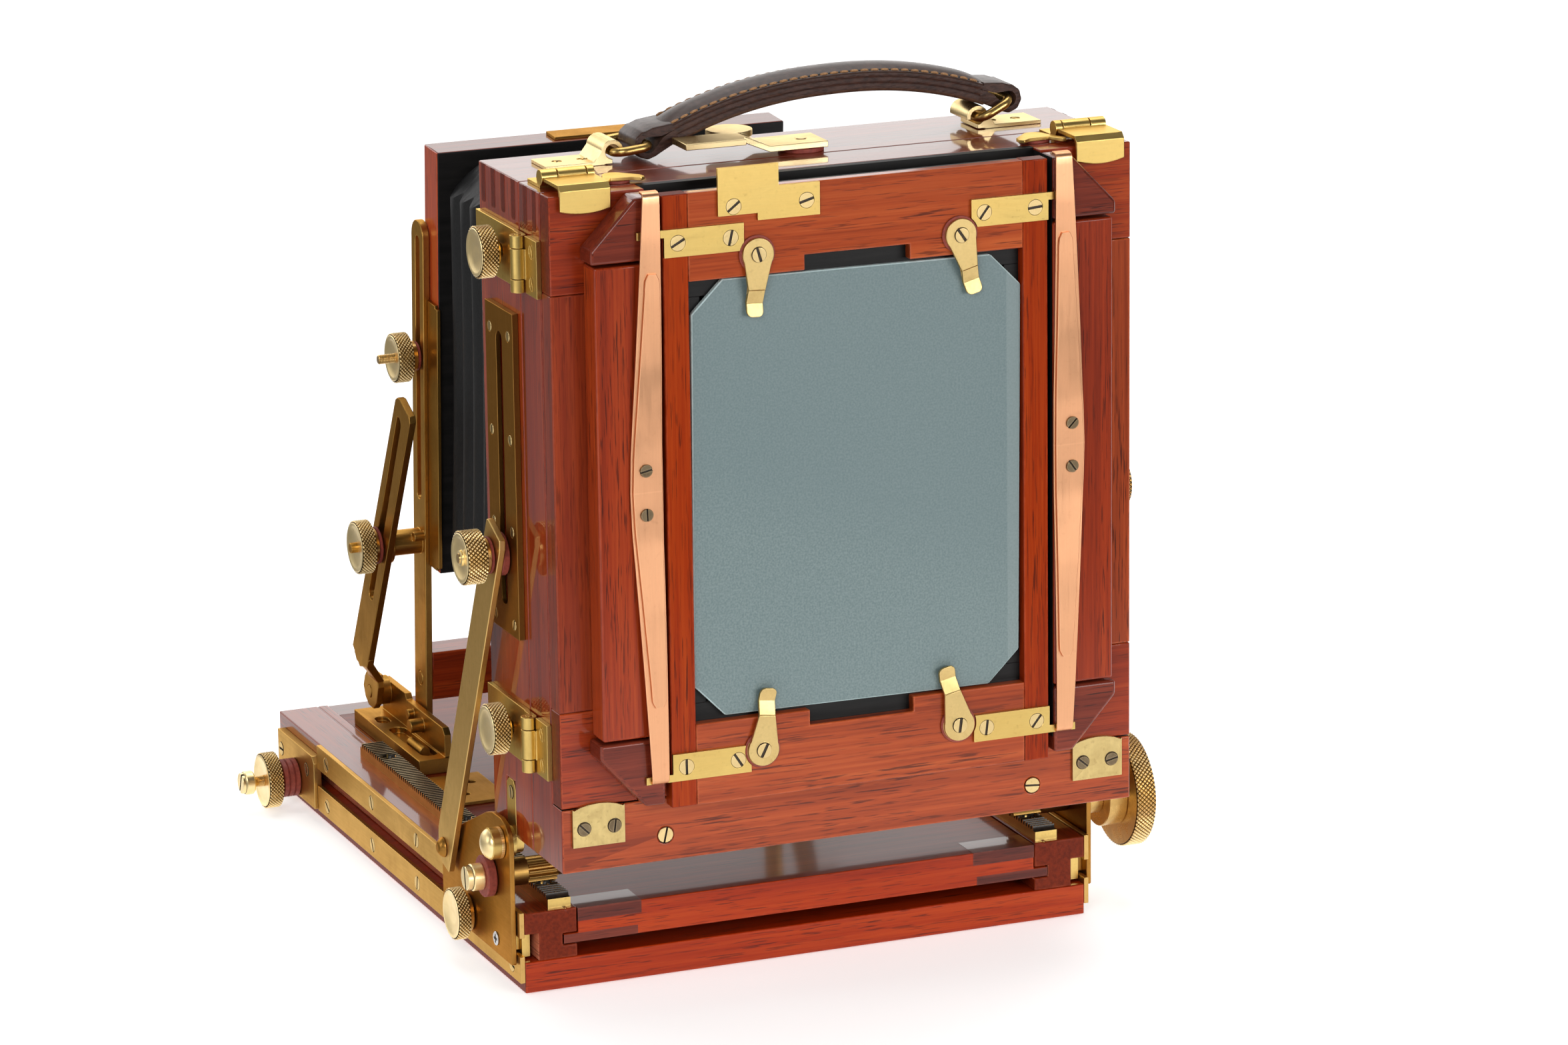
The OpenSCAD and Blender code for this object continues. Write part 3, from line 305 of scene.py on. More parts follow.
def plain(name, base, dark, rough, scale=300, bump=0.15, dist=0.0001, coat=0.0, spec=0.5, metallic=0.0, detail=4, vec=(1, 1, 1), lo=0.35, hi=0.7):
    m, nt, bs = new_mat(name)
    g = G(nt)
    c = g.noise(g.coords(vec), scale, detail, 0.6)
    col = g.mix(g.range(c, lo, hi), base, dark)
    g.link(col, bs.inputs["Base Color"])
    g.link(g.math("ADD", g.math("MULTIPLY", c, 0.16), rough - 0.08), bs.inputs["Roughness"])
    bs.inputs["Metallic"].default_value = metallic
    bs.inputs["Specular IOR Level"].default_value = spec
    bs.inputs["Coat Weight"].default_value = coat
    bs.inputs["Coat Roughness"].default_value = 0.15
    g.link(g.bump(c, bump, dist), bs.inputs["Normal"])
    return m


RED = dict(dark=(0.150, 0.014, 0.0030), mid=(0.262, 0.027, 0.0045), light=(0.375, 0.055, 0.0090))
ORG = dict(dark=(0.200, 0.026, 0.0050), mid=(0.350, 0.054, 0.0105), light=(0.480, 0.100, 0.0220))
DRK = dict(dark=(0.050, 0.0075, 0.0040), mid=(0.095, 0.0135, 0.0065), light=(0.160, 0.026, 0.0110))
W = {}
for a in "xyz":
    W["red_" + a] = wood("mahogany_" + a, a, **RED)
    W["org_" + a] = wood("mahogany_warm_" + a, a, **ORG)
    W["drk_" + a] = wood("mahogany_dark_" + a, a, rough=0.36, **DRK)

BR = (0.71, 0.500, 0.160)
BRD = (0.34, 0.200, 0.050)
AG = (0.42, 0.225, 0.050)
AGD = (0.18, 0.092, 0.024)
brass = metal("brass_sheet", BR, BRD, rough=0.30, brush="z", patina=0.35)
brass_x = metal("brass_sheet_x", BR, BRD, rough=0.30, brush="x", patina=0.35)
brass_y = metal("brass_sheet_y", BR, BRD, rough=0.32, brush="y", patina=0.40)
aged = metal("brass_aged", AG, AGD, rough=0.34, brush="z", patina=0.5)
aged_y = metal("brass_aged_y", AG, AGD, rough=0.34, brush="y", patina=0.5)
polished = turned("brass_turned", (1.0, 0.79, 0.41), (0.74, 0.52, 0.21), rough=0.33, patina=0.22)
hub = turned("brass_hub", (0.60, 0.385, 0.135), (0.30, 0.165, 0.050), rough=0.27, patina=0.4)
screw_b = metal("brass_screw", (0.76, 0.57, 0.27), (0.34, 0.22, 0.08), rough=0.30, patina=0.35, edge=0.3)
screw_d = metal("dark_screw", (0.20, 0.150, 0.090), (0.07, 0.045, 0.025), rough=0.42, patina=0.7, edge=0.5, bright=(0.5, 0.38, 0.22))
steel = metal("steel_screw", (0.62, 0.62, 0.62), (0.30, 0.30, 0.30), rough=0.30, patina=0.3)
copper = metal("spring_bronze", (0.78, 0.400, 0.215), (0.58, 0.270, 0.135), rough=0.33, brush="z", patina=0.30, streak=0.02, scale=40)
fibre = plain("red_fibre", (0.285, 0.046, 0.028), (0.175, 0.026, 0.017), 0.62, scale=900, bump=0.3, dist=0.00008)
black = plain("ebonised", (0.0045, 0.0042, 0.0042), (0.011, 0.010, 0.0095), 0.50, scale=500, bump=0.3, dist=0.00012, spec=0.22, vec=(0.1, 1, 1))
# near-black for the awl holes in the stitching: painted shade
hole_shade_black = plain("awl_hole_shade", (0.008, 0.007, 0.006), (0.016, 0.013, 0.011), 0.6, scale=700)

W["blk_x"] = wood("mahogany_block", "x", (0.075, 0.0090, 0.0040), (0.150, 0.0210, 0.0090), (0.240, 0.038, 0.0150), rough=0.34, end=1.0, pores=0.9)
W["side_z"] = wood("mahogany_side", "z", (0.125, 0.0100, 0.0022), (0.215, 0.0190, 0.0032), (0.310, 0.0400, 0.0060), coat=0.9, coat_rough=0.035, ior=1.44, spec=0.05, end=0.8)
W["top_x"] = wood("mahogany_top", "x", (0.090, 0.0110, 0.0035), (0.165, 0.0200, 0.0055), (0.250, 0.0400, 0.0100), coat=0.85, coat_rough=0.055, ior=1.34, end=0.9)
W["stile_z"] = wood("mahogany_stile", "z", (0.105, 0.0120, 0.0045), (0.190, 0.0220, 0.0060), (0.300, 0.0440, 0.0100), coat=0.6, pores=0.6)
W["frame_z"] = wood("mahogany_frame", "z", (0.165, 0.0120, 0.0010), (0.262, 0.0230, 0.0014), (0.370, 0.0480, 0.0040), coat=0.4, spec=0.06)
W["edge_x"] = wood("mahogany_base", "x", (0.185, 0.0120, 0.0010), (0.300, 0.0240, 0.0016), (0.410, 0.0480, 0.0040), coat=0.7, spec=0.08)
# darker, duller mahogany for the bed panel's top: the darker colour is painted shade from the body and bellows above
W["bed_x"] = wood("mahogany_bed", "x", (0.085, 0.0090, 0.0028), (0.150, 0.0150, 0.0038), (0.240, 0.0320, 0.0080), rough=0.42, coat=0.42, coat_rough=0.09, ior=1.32, spec=0.05)
# paler, matte mahogany for the groove walls: painted bounce light in the recess
W["groove_y"] = wood("mahogany_groove_bounce_lit", "y", (0.300, 0.075, 0.036), (0.480, 0.140, 0.072), (0.620, 0.210, 0.120), rough=0.5, coat=0.0, spec=0.1, wear_and_highlight=0.0)
W["lens_z"] = wood("mahogany_lens", "z", (0.270, 0.0280, 0.0045), (0.450, 0.0550, 0.0105), (0.580, 0.0950, 0.0210), coat=0.7, ior=1.34)
W["rail_y"] = wood("mahogany_rail", "y", (0.120, 0.0130, 0.0035), (0.210, 0.0240, 0.0050), (0.320, 0.0480, 0.0100), coat=0.75, ior=1.35, end=0.72)
W["finger"] = wood("mahogany_end_grain", "x", (0.100, 0.0100, 0.0030), (0.150, 0.0160, 0.0045), (0.220, 0.0320, 0.0080), coat=0.9, ior=1.45, end=0.85)
# darker, more saturated brass for the side plates and slot plates on the body's sides: partly patina, partly painted
# shade
side_plate_patina_and_shade = metal("brass_side_plate", (0.385, 0.185, 0.038), (0.175, 0.078, 0.016), rough=0.33, brush="y", patina=0.45)
slot_plate_patina_and_shade = metal("brass_slot_plate", (0.31, 0.150, 0.032), (0.135, 0.062, 0.014), rough=0.35, brush="z", patina=0.5)
upright_brass = metal("brass_upright", (0.52, 0.290, 0.070), (0.23, 0.120, 0.030), rough=0.34, brush="z", patina=0.5)
shaft_brass = metal("brass_shaft", (0.46, 0.270, 0.075), (0.20, 0.105, 0.028), rough=0.40, brush="x", patina=0.5)
# paler brass for the fittings on top: partly wear, partly painted reflection of the bright light above
top_brass_wear_and_reflection = metal("brass_top_wear_and_reflection", (0.80, 0.640, 0.350), (0.46, 0.330, 0.140), rough=0.27, brush="x", patina=0.3)
aged_streak = metal("brass_streaked", (0.62, 0.47, 0.20), (0.26, 0.17, 0.06), rough=0.36, brush="z", patina=0.55, streak=0.015, scale=160)
clip_brass = metal("brass_clip", (0.66, 0.48, 0.20), (0.34, 0.22, 0.075), rough=0.34, patina=0.4)
strut_brass = metal("brass_strut", (0.74, 0.495, 0.180), (0.34, 0.200, 0.060), rough=0.34, brush="z", patina=0.35)
# near-black on the rack teeth's flanks and valley floors
M_DARK_TOOTH_FLANKS = plain("rack_valleys", (0.010, 0.009, 0.008), (0.030, 0.022, 0.012), 0.40, scale=900, metallic=0.2, bump=0.2)
rack_top = metal("rack_tops", (0.36, 0.285, 0.180), (0.14, 0.105, 0.060), rough=0.30, patina=0.3, edge=0.0)
rack_side = metal("rack_side", (0.62, 0.290, 0.085), (0.34, 0.140, 0.040), rough=0.36, brush="y", patina=0.35)
# near-black for screw slots, the rims of screw heads and a thin ring round each head's foot: painted shade
slot_shade_dark = plain("screw_slot_shade", (0.020, 0.012, 0.006), (0.045, 0.026, 0.010), 0.5, scale=900, metallic=0.3)
strip_brass = metal("brass_strip", (0.58, 0.365, 0.118), (0.28, 0.160, 0.043), rough=0.34, brush="y", patina=0.35)


def knurl_shade_and_highlight_mat(r, depth):
    """Bright pyramid tips and dark valleys, by the distance from the turning axis: painted shade in the valleys and
    painted highlight on the tips.
    """
    m, nt, bs = new_mat("brass_knurl_%d" % round(r * 100))
    g = G(nt)
    bs.inputs["Metallic"].default_value = 1.0
    tc = g.n("TexCoord")
    sep = g.n("SeparateXYZ")
    g.link(tc.outputs["Object"], sep.inputs[0])
    rad = g.math("SQRT", g.math("ADD", g.math("MULTIPLY", sep.outputs[0], sep.outputs[0]), g.math("MULTIPLY", sep.outputs[1], sep.outputs[1])))
    v = g.range(rad, (r - depth) * S, r * S)
    nz = g.noise(g.coords(), 320, 3, 0.6)
    v = g.math("ADD", v, g.math("MULTIPLY", g.math("SUBTRACT", nz, 0.5), 0.35))
    col = g.ramp(v, [(0.04, (0.030, 0.014, 0.005)), (0.20, (0.34, 0.200, 0.060)), (0.38, (0.95, 0.690, 0.310)), (0.85, (1.0, 0.85, 0.52))])
    g.link(col, bs.inputs["Base Color"])
    g.link(g.range(v, 0.2, 0.9, 0.50, 0.32), bs.inputs["Roughness"])
    g.link(g.bump(nz, 0.1, 0.00004), bs.inputs["Normal"])
    return m



ring_brass = metal("brass_wire", (0.58, 0.38, 0.13), (0.28, 0.17, 0.05), rough=0.28, patina=0.45, edge=0.0)
leather = plain("leather_top", (0.050, 0.019, 0.011), (0.021, 0.009, 0.006), 0.40, scale=420, bump=0.35, dist=0.00022, coat=0.05, spec=0.35)
leather_under = plain("leather_underside", (0.10, 0.045, 0.024), (0.045, 0.018, 0.010), 0.6, scale=500, bump=0.4, dist=0.0002)
leather_raw = plain("leather_cut_edge", (0.062, 0.022, 0.013), (0.020, 0.0075, 0.005), 0.62, scale=950, bump=0.9, dist=0.00035, vec=(0.5, 1, 1.6))
thread = plain("waxed_thread", (0.40, 0.205, 0.080), (0.22, 0.105, 0.042), 0.6, scale=2500, bump=0.5, dist=0.00006)
cloth = plain("bellows_leathercloth", (0.0060, 0.0060, 0.0063), (0.0125, 0.0125, 0.0130), 0.54, scale=1500, bump=0.7, dist=0.00012, spec=0.30)


def glass_mats():
    m, nt, bs = new_mat("ground_glass_face")
    g = G(nt)
    fine = g.noise(g.coords(), 1700, 2, 0.5)
    soft = g.noise(g.coords(), 9, 2, 0.4)
    tc = g.n("TexCoord")
    sep = g.n("SeparateXYZ")
    g.link(tc.outputs["Object"], sep.inputs[0])
    d = g.math("ADD", g.math("MULTIPLY", sep.outputs[0], 0.35), g.math("MULTIPLY", sep.outputs[2], 1.0))
    step = g.range(d, 0.128, 0.150)
    col = g.mix(g.range(fine, 0.32, 0.68), (0.104, 0.155, 0.158), (0.164, 0.219, 0.219))
    col = g.mix(g.math("MULTIPLY", step, 0.35), col, (0.100, 0.150, 0.160))
    col = g.mix(g.range(soft, 0.3, 0.7, 0.0, 0.14), col, (0.185, 0.240, 0.240))
    # a paler band along the right edge, where the ledge lies behind the glass: painted light
    col = g.mix(g.math("MULTIPLY", g.range(sep.outputs[0], 0.0462, 0.0465), 0.30), col, (0.250, 0.300, 0.295))
    g.link(col, bs.inputs["Base Color"])
    bs.inputs["Roughness"].default_value = 0.40
    bs.inputs["IOR"].default_value = 1.5
    bs.inputs["Coat Weight"].default_value = 0.15
    bs.inputs["Coat Roughness"].default_value = 0.22
    g.link(g.bump(fine, 0.12, 0.00004), bs.inputs["Normal"])
    e = plain("ground_glass_edge", (0.52, 0.66, 0.66), (0.40, 0.54, 0.54), 0.35, scale=500)
    return m, e


M_GLASS, M_GLASS_EDGE = glass_mats()


# ------------------------------------------------------------------ mesh tools
def finish_mesh(name, bm, mats, body, reps=(), bevel=0.0, segs=2, angle=32, smooth=True, keep_units=False, harden=True):
    if not keep_units:
        bm.transform(Matrix.Translation((0, -BUSH_Y * S, 0)) @ Matrix.Diagonal((S, S, S, 1)))
    me = bpy.data.meshes.new(name)
    bm.normal_update()
    bm.to_mesh(me)
    bm.free()
    for mt in mats:
        me.materials.append(mt)
    ob = bpy.data.objects.new(name, me)
    bpy.context.scene.collection.objects.link(ob)
    if smooth:
        me.shade_smooth()
        me.set_sharp_from_angle(angle=angle * D2R)
    if bevel:
        b = ob.modifiers.new("Bevel", "BEVEL")
        b.width = bevel * S
        b.segments = segs
        b.limit_method = "ANGLE"
        b.angle_limit = angle * D2R
        b.use_clamp_overlap = False
        b.loop_slide = False
        b.miter_outer = "MITER_SHARP"
        if harden:
            w = ob.modifiers.new("Weighted", "WEIGHTED_NORMAL")
            w.mode = "FACE_AREA"
            w.weight = 60
            w.keep_sharp = True
    if body:
        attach(ob, body)
    if reps:
        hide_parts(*reps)
    return ob


BODY_OF = {n: b for b, ns in frame["record"]["behaviour"]["bodies"].items() for n in ns}


def remake(node, rule, mats, bevel=0.2, segs=2, angle=32, drop=None, name=None, edit=None):
    """A piece cut from a CAD node's own surface: welded, edges rounded, each face given a material by its place."""
    src = nodes[node].data
    bm = bmesh.new()
    bm.from_mesh(src)
    bm.transform(Matrix.Diagonal((1 / S, 1 / S, 1 / S, 1)) @ Matrix.Translation((0, BUSH_Y * S, 0)))
    bmesh.ops.remove_doubles(bm, verts=bm.verts, dist=0.002)
    bmesh.ops.dissolve_degenerate(bm, edges=bm.edges, dist=0.001)
    # islands
    bm.verts.ensure_lookup_table()
    for v in bm.verts:
        v.tag = False
    for v0 in bm.verts:
        if v0.tag:
            continue
        stack, isl = [v0], []
        v0.tag = True
        while stack:
            v = stack.pop()
            isl.append(v)
            for e in v.link_edges:
                o = e.other_vert(v)
                if not o.tag:
                    o.tag = True
                    stack.append(o)
        lo = Vector([min(v.co[k] for v in isl) for k in range(3)])
        hi = Vector([max(v.co[k] for v in isl) for k in range(3)])
        fs = set(f for v in isl for f in v.link_faces)
        if drop and drop(lo, hi):
            for f in fs:
                f.tag = True
            continue
        for f in fs:
            f.tag = False
            f.material_index = rule(f.calc_center_median(), f.normal, lo, hi) if rule else 0
    dead = [v for v in bm.verts if v.link_faces and all(f.tag for f in v.link_faces)]
    if dead:
        bmesh.ops.delete(bm, geom=dead, context="VERTS")
    bmesh.ops.dissolve_limit(bm, angle_limit=0.6 * D2R, verts=bm.verts, edges=bm.edges, delimit={"MATERIAL"})
    if edit:
        edit(bm)
    return finish_mesh(name or (node + "_piece"), bm, mats, BODY_OF[node], (node,), bevel, segs, angle)


def box(bm, x0, x1, y0, y1, z0, z1, mi=0):
    vs = [bm.verts.new((x, y, z)) for x in (x0, x1) for y in (y0, y1) for z in (z0, z1)]
    for q in ((0, 1, 3, 2), (4, 6, 7, 5), (0, 4, 5, 1), (2, 3, 7, 6), (0, 2, 6, 4), (1, 5, 7, 3)):
        f = bm.faces.new([vs[k] for k in q])
        f.material_index = mi
    return vs


def prism(bm, poly, axis, a, b, mi=0):
    """Extrudes a convex or simple outline. For axis y the outline is (x, z), for x it is (y, z), for z it is (x, y)."""
    def at(p, t):
        return {"x": (t, p[0], p[1]), "y": (p[0], t, p[1]), "z": (p[0], p[1], t)}[axis]
    lo = [bm.verts.new(at(p, a)) for p in poly]
    hi = [bm.verts.new(at(p, b)) for p in poly]
    n = len(poly)
    fs = [bm.faces.new(lo), bm.faces.new(hi)]
    for i in range(n):
        fs.append(bm.faces.new((lo[i], lo[(i + 1) % n], hi[(i + 1) % n], hi[i])))
    for f in fs:
        f.material_index = mi
    bmesh.ops.recalc_face_normals(bm, faces=fs)
    return lo + hi


def lathe(bm, prof, seg=64, mi=0, close=True):
    """prof is a list of (r, z) or (r, z, material). Axis is local Z."""
    rings = []
    for p in prof:
        r, z = p[0], p[1]
        if r < 1e-6:
            rings.append([bm.verts.new((0, 0, z))])
        else:
            rings.append([bm.verts.new((r * math.cos(2 * math.pi * i / seg), r * math.sin(2 * math.pi * i / seg), z)) for i in range(seg)])
    for k in range(len(rings) - 1):
        a, b = rings[k], rings[k + 1]
        m = prof[k + 1][2] if len(prof[k + 1]) > 2 else mi
        for i in range(seg):
            j = (i + 1) % seg
            if len(a) == 1 and len(b) == 1:
                continue
            if len(a) == 1:
                f = bm.faces.new((a[0], b[i], b[j]))
            elif len(b) == 1:
                f = bm.faces.new((a[i], b[0], a[j]))
            else:
                f = bm.faces.new((a[i], b[i], b[j], a[j]))
            f.material_index = m
            f.smooth = True
    return rings


def bake_piece(name, bm, mats, origin, axis, body, reps=(), angle=40, roll=0.0, bevel=0.0):
    """A piece built round its own Z, in mm, placed at origin (mm, measuring frame) with Z along axis."""
    bm.transform(Matrix.Diagonal((S, S, S, 1)))
    me = bpy.data.meshes.new(name)
    bmesh.ops.recalc_face_normals(bm, faces=bm.faces)
    bm.normal_update()
    bm.to_mesh(me)
    bm.free()
    for mt in mats:
        me.materials.append(mt)
    me.shade_smooth()
    me.set_sharp_from_angle(angle=angle * D2R)
    ob = bpy.data.objects.new(name, me)
    bpy.context.scene.collection.objects.link(ob)
    z = Vector(axis).normalized()
    q = z.to_track_quat("Z", "Y")
    ob.matrix_world = Matrix.Translation(P(*origin)) @ q.to_matrix().to_4x4() @ Matrix.Rotation(roll, 4, "Z")
    if bevel:
        b = ob.modifiers.new("Bevel", "BEVEL")
        b.width = bevel * S
        b.segments = 2
        b.limit_method = "ANGLE"
        b.angle_limit = angle * D2R
        b.use_clamp_overlap = False
        b.harden_normals = True
    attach(ob, body)
    if reps:
        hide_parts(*reps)
    return ob


LEAN = 3.25 * D2R


def lean_pt(x, y, z):
    dy, dz = y - 205.5, z - 34.7
    return (x, 205.5 + dy * math.cos(LEAN) - dz * math.sin(LEAN), 34.7 + dy * math.sin(LEAN) + dz * math.cos(LEAN))


# --------------------------------------------------------------------- timber
remake("base_plank", None, [W["edge_x"]], bevel=0.35, segs=2)
remake("tripod_bush", None, [brass], bevel=0.25)
# groove walls in the rails take the paler groove wood: painted bounce light
remake("side_rails", lambda c, n, lo, hi: 1 if abs(n.x) > 0.7 and 11 < c.z < 17.5 else 0, [W["rail_y"], W["groove_y"]], bevel=0.35)


def bed_rule(c, n, lo, hi):
    return 1 if hi.y - lo.y < 20 else 0


# the bed panel's top face takes the darker mahogany: painted shade
remake("bed_panel", lambda c, n, lo, hi: 1 if n.z > 0.7 and c.z > 20 else 0, [W["edge_x"], W["bed_x"]], bevel=0.3)
bm = bmesh.new()
for s in (-1, 1):
    for k0, e0, e1 in ((32.5, 0.05, -0.05), (None, -0.05, 0.05)):
        if k0 is None:
            k0 = max(v.co.y for v in nodes["bed_panel"].data.vertices) / S + BUSH_Y - 11
        for xa, xb, za, zb in ((52.8, 72.6, 19.9, 23.85), (54.0, 77.0, 13.7, 16.3)):
            a, b = sorted((s * xa, s * xb))
            box(bm, a, b, k0 - e0, k0 + 11 + e1, za, zb)
bmesh.ops.recalc_face_normals(bm, faces=bm.faces)
finish_mesh("bed_keys", bm, [W["drk_x"]], "front_bed", ())
remake("cross_member", None, [W["red_x"]], bevel=0.5)


def body_rule(c, n, lo, hi):
    if abs(c.x) < 75.9 and 57.7 < c.z < 231.2:
        return 3
    if n.z > 0.7 and c.z > 240:
        return 1
    if n.z < -0.7 and c.z < 50:
        return 1
    if abs(n.y) > 0.7 and (c.z > 231 or c.z < 58) and abs(c.x) < 76:
        return 1
    if abs(n.x) > 0.7 and abs(c.x) < 88.5:
        return 2
    return 0


remake("body_box", body_rule, [W["side_z"], W["top_x"], W["drk_z"], black], bevel=0.45, segs=3)


def frame_rule(c, n, lo, hi):
    if abs(c.x) < 62.1 and 73.9 < c.z < 220.1 and (abs(n.x) > 0.7 or abs(n.z) > 0.7):
        return 3
    if n.z > 0.7 and c.z > 240:
        return 1
    if n.z < -0.7:
        return 1
    if n.y < -0.7 and c.y < 0.1:
        return 1
    if n.z > 0.7 and c.z < 66:
        return 3
    return 0


def frame_rule2(c, n, lo, hi):
    k = frame_rule(c, n, lo, hi)
    return 4 if k == 1 and n.z > 0.7 else k


remake("back_frame", frame_rule2, [W["side_z"], W["org_x"], W["drk_z"], black, W["top_x"]], bevel=0.45, segs=3)


def patches(name, body, mat, items, axis):
    """End-grain fingers of the corner joints: rounded tongues a hair proud of the board."""
    bm = bmesh.new()
    for (a0, a1, b0, b1, face) in items:
        r = (a1 - a0) / 2
        poly = [(a0, b1), (a1, b1), (a1, b0 + r * 0.5), (a1 - 0.3 * r, b0 + 0.12 * r), ((a0 + a1) / 2, b0), (a0 + 0.3 * r, b0 + 0.12 * r), (a0, b0 + r * 0.5)]
        lo, hi = (face, face + 0.06) if face > 0 else (face - 0.06, face)
        prism(bm, poly, axis, lo, hi)
    return finish_mesh(name, bm, [mat], body, bevel=0.0)


for s, side in ((-1, "left"), (1, "right")):
    fx = s * 88.8
    patches(side + "_box_fingers", "rear_body", W["finger"], [(y, y + 3.1, z, 242.0, fx) for y, z in ((27.0, 230.4), (35.2, 230.9), (43.4, 230.6), (51.3, 230.8))], "x")
    patches(side + "_frame_fingers", "back_swing", W["finger"], [(y, y + 2.8, z, 242.0, fx) for y, z in ((10.2, 230.2), (17.4, 230.9))], "x")


# reversible back: stiles between full-width rails, bevelled rails and corner blocks round the film slot
def rect(x0, x1, z0, z1):
    return [(x0, z0), (x1, z0), (x1, z1), (x0, z1)]


bm = bmesh.new()
for s in (-1, 1):
    a, b = sorted((s * 60.3, s * 88.8))
    # the right stile takes the warmer, brighter mahogany (material 2): painted light falling from the right
    prism(bm, rect(a, b, 93.2, 213.9), "y", 0, 6.85, 0 if s < 0 else 2)
prism(bm, [(-88.8, 65), (88.8, 65), (88.8, 93.1), (60.3, 93.1), (60.3, 70), (-60.3, 70), (-60.3, 93.1), (-88.8, 93.1)], "y", 0, 6.85, 1)
for s in (-1, 1):
    a, b = sorted((s * 60.3, s * 88.8))
    prism(bm, rect(a, b, 214.0, 242.1), "y", 0, 6.85, 1)
rb = finish_mesh("back_board", bm, [W["stile_z"], W["red_x"], W["org_z"]], "back_swing", ("reversible_back",), bevel=0.4, segs=2)
# black floor of the film slot, with its window
bm = bmesh.new()
for r in (rect(-60.35, 60.35, 213.2, 242.1), rect(-60.35, 60.35, 70, 91.2), rect(-60.35, -48.8, 91.2, 213.2), rect(48.8, 60.35, 91.2, 213.2)):
    prism(bm, r, "y", 4.5, 7.2)
finish_mesh("film_slot_floor", bm, [black], "back_swing", ("reversible_back",), smooth=False)
bm = bmesh.new()
for s in (-1, 1):
    q = lambda pts: [(s * x, z) for x, z in pts]
    prism(bm, q([(60.4, 86), (79, 86), (79, 222.8), (60.4, 222.8)]), "y", -9, 0.02, 0)
finish_mesh("back_rails", bm, [W["red_z"]], "back_swing", ("reversible_back",), bevel=0.7, segs=3)
bm = bmesh.new()
for s in (-1, 1):
    q = lambda pts: [(s * x, z) for x, z in pts]
    prism(bm, q([(60.4, 223.6), (80, 223.6), (80, 227.4), (66.4, 241.6), (60.4, 241.6)]), "y", -9, 0.02, 0)
    prism(bm, q([(60.4, 85.2), (80, 85.2), (80, 80.8), (66.4, 65.6), (60.4, 65.6)]), "y", -9, 0.02, 0)
finish_mesh("back_corner_blocks", bm, [W["blk_x"]], "back_swing", ("reversible_back",), bevel=0.9, segs=3)
# black lining of the slot's side walls
bm = bmesh.new()
for s in (-1, 1):
    a, b = sorted((s * 60.28, s * 60.5))
    box(bm, a, b, -8.2, 4.6, 70.2, 241.5)
finish_mesh("film_slot_sides", bm, [black], "back_swing", (), smooth=False)

# glass frame: full-height stiles, rails between them, black ledge under the glass
bm = bmesh.new()
GZ = 152.2
for s in (-1, 1):
    a, b = sorted((s * 51.0, s * 58.6))
    prism(bm, rect(a, b, 64.2, 241.6), "y", -9, -4, 0)
prism(bm, [(-50.97, 241.6), (-50.97, GZ + 64.2), (-16, GZ + 64.2), (-16, GZ + 68.6), (16, GZ + 68.6), (16, GZ + 64.2), (50.97, GZ + 64.2), (50.97, 241.6)], "y", -9, -5.58, 1)
prism(bm, [(-50.97, 64.2), (-50.97, GZ - 64.2), (-16, GZ - 64.2), (-16, GZ - 68.6), (16, GZ - 68.6), (16, GZ - 64.2), (50.97, GZ - 64.2), (50.97, 64.2)], "y", -9, -5.58, 1)
gf = finish_mesh("glass_frame_wood", bm, [W["frame_z"], W["org_x"]], "glass_panel", ("glass_frame",), bevel=0.3, segs=2)
bm = bmesh.new()
for r in (rect(-51, 51, GZ + 59, 241.5), rect(-51, 51, 64.3, GZ - 59), rect(-51, -46.5, GZ - 59, GZ + 59), rect(46.5, 51, GZ - 59, GZ + 59)):
    prism(bm, r, "y", -5.6, -4)
finish_mesh("glass_ledge", bm, [black], "glass_panel", ("glass_frame",), bevel=0.15)


# ------------------------------------------------------------------ lens frame
def lf_rule(c, n, lo, hi):
    if n.y < -0.6:
        return 2
    if abs(n.x) > 0.7 and abs(c.x) > 56.5:
        return 0
    if n.z > 0.7 and c.z > 210:
        return 1
    if n.y > 0.6 and abs(c.x) < 57.2:
        return 0 if abs(c.x) > 47 else 1
    return 2 if abs(c.x) < 52 else 0


remake("lens_frame", lf_rule, [W["lens_z"], W["top_x"], black], bevel=0.5, segs=2)
remake("lens_board", lambda c, n, lo, hi: 1 if n.y < -0.5 else 0, [W["red_x"], black], bevel=0.4)
remake("lens_flange", lambda c, n, lo, hi: 1 if (hi - lo).x < 6 else 0, [brass_x, screw_b], bevel=0.18)
remake("frame_guides", None, [aged], bevel=0.15)

# ---------------------------------------------------------------- sheet brass
def head(c, n, lo, hi):
    """True on the outer face of a screw head, false on its rim and in its slot."""
    d = hi - lo
    k = min(range(3), key=lambda i: d[i])
    sgn = (1 if (lo.x + hi.x) > 0 else -1) if k == 0 else (-1 if k == 1 else 1)
    top = hi[k] if sgn > 0 else lo[k]
    return n[k] * sgn > 0.6 and abs(c[k] - top) < 0.2


def screw_rule(c, n, lo, hi):
    return 0 if head(c, n, lo, hi) else 1


# tops of the teeth stay brass; flanks and valley floors are near-black
def rack_rule(c, n, lo, hi):
    if abs(n.x) > 0.7:
        return 2
    if abs(n.y) > 0.99:
        return 3
    if n.z > 0.9 and c.z > 28.1:
        return 0
    return 1


remake("focus_racks", rack_rule, [rack_top, M_DARK_TOOTH_FLANKS, rack_side, brass_y], bevel=0.0)
remake("slide_strips", None, [strip_brass], bevel=0.18)
remake("base_screws", screw_rule, [screw_b, slot_shade_dark], bevel=0.08)


def fit_rule(c, n, lo, hi):
    if hi.z < 26.2 and (hi - lo).y > 50:
        return 1
    return 0


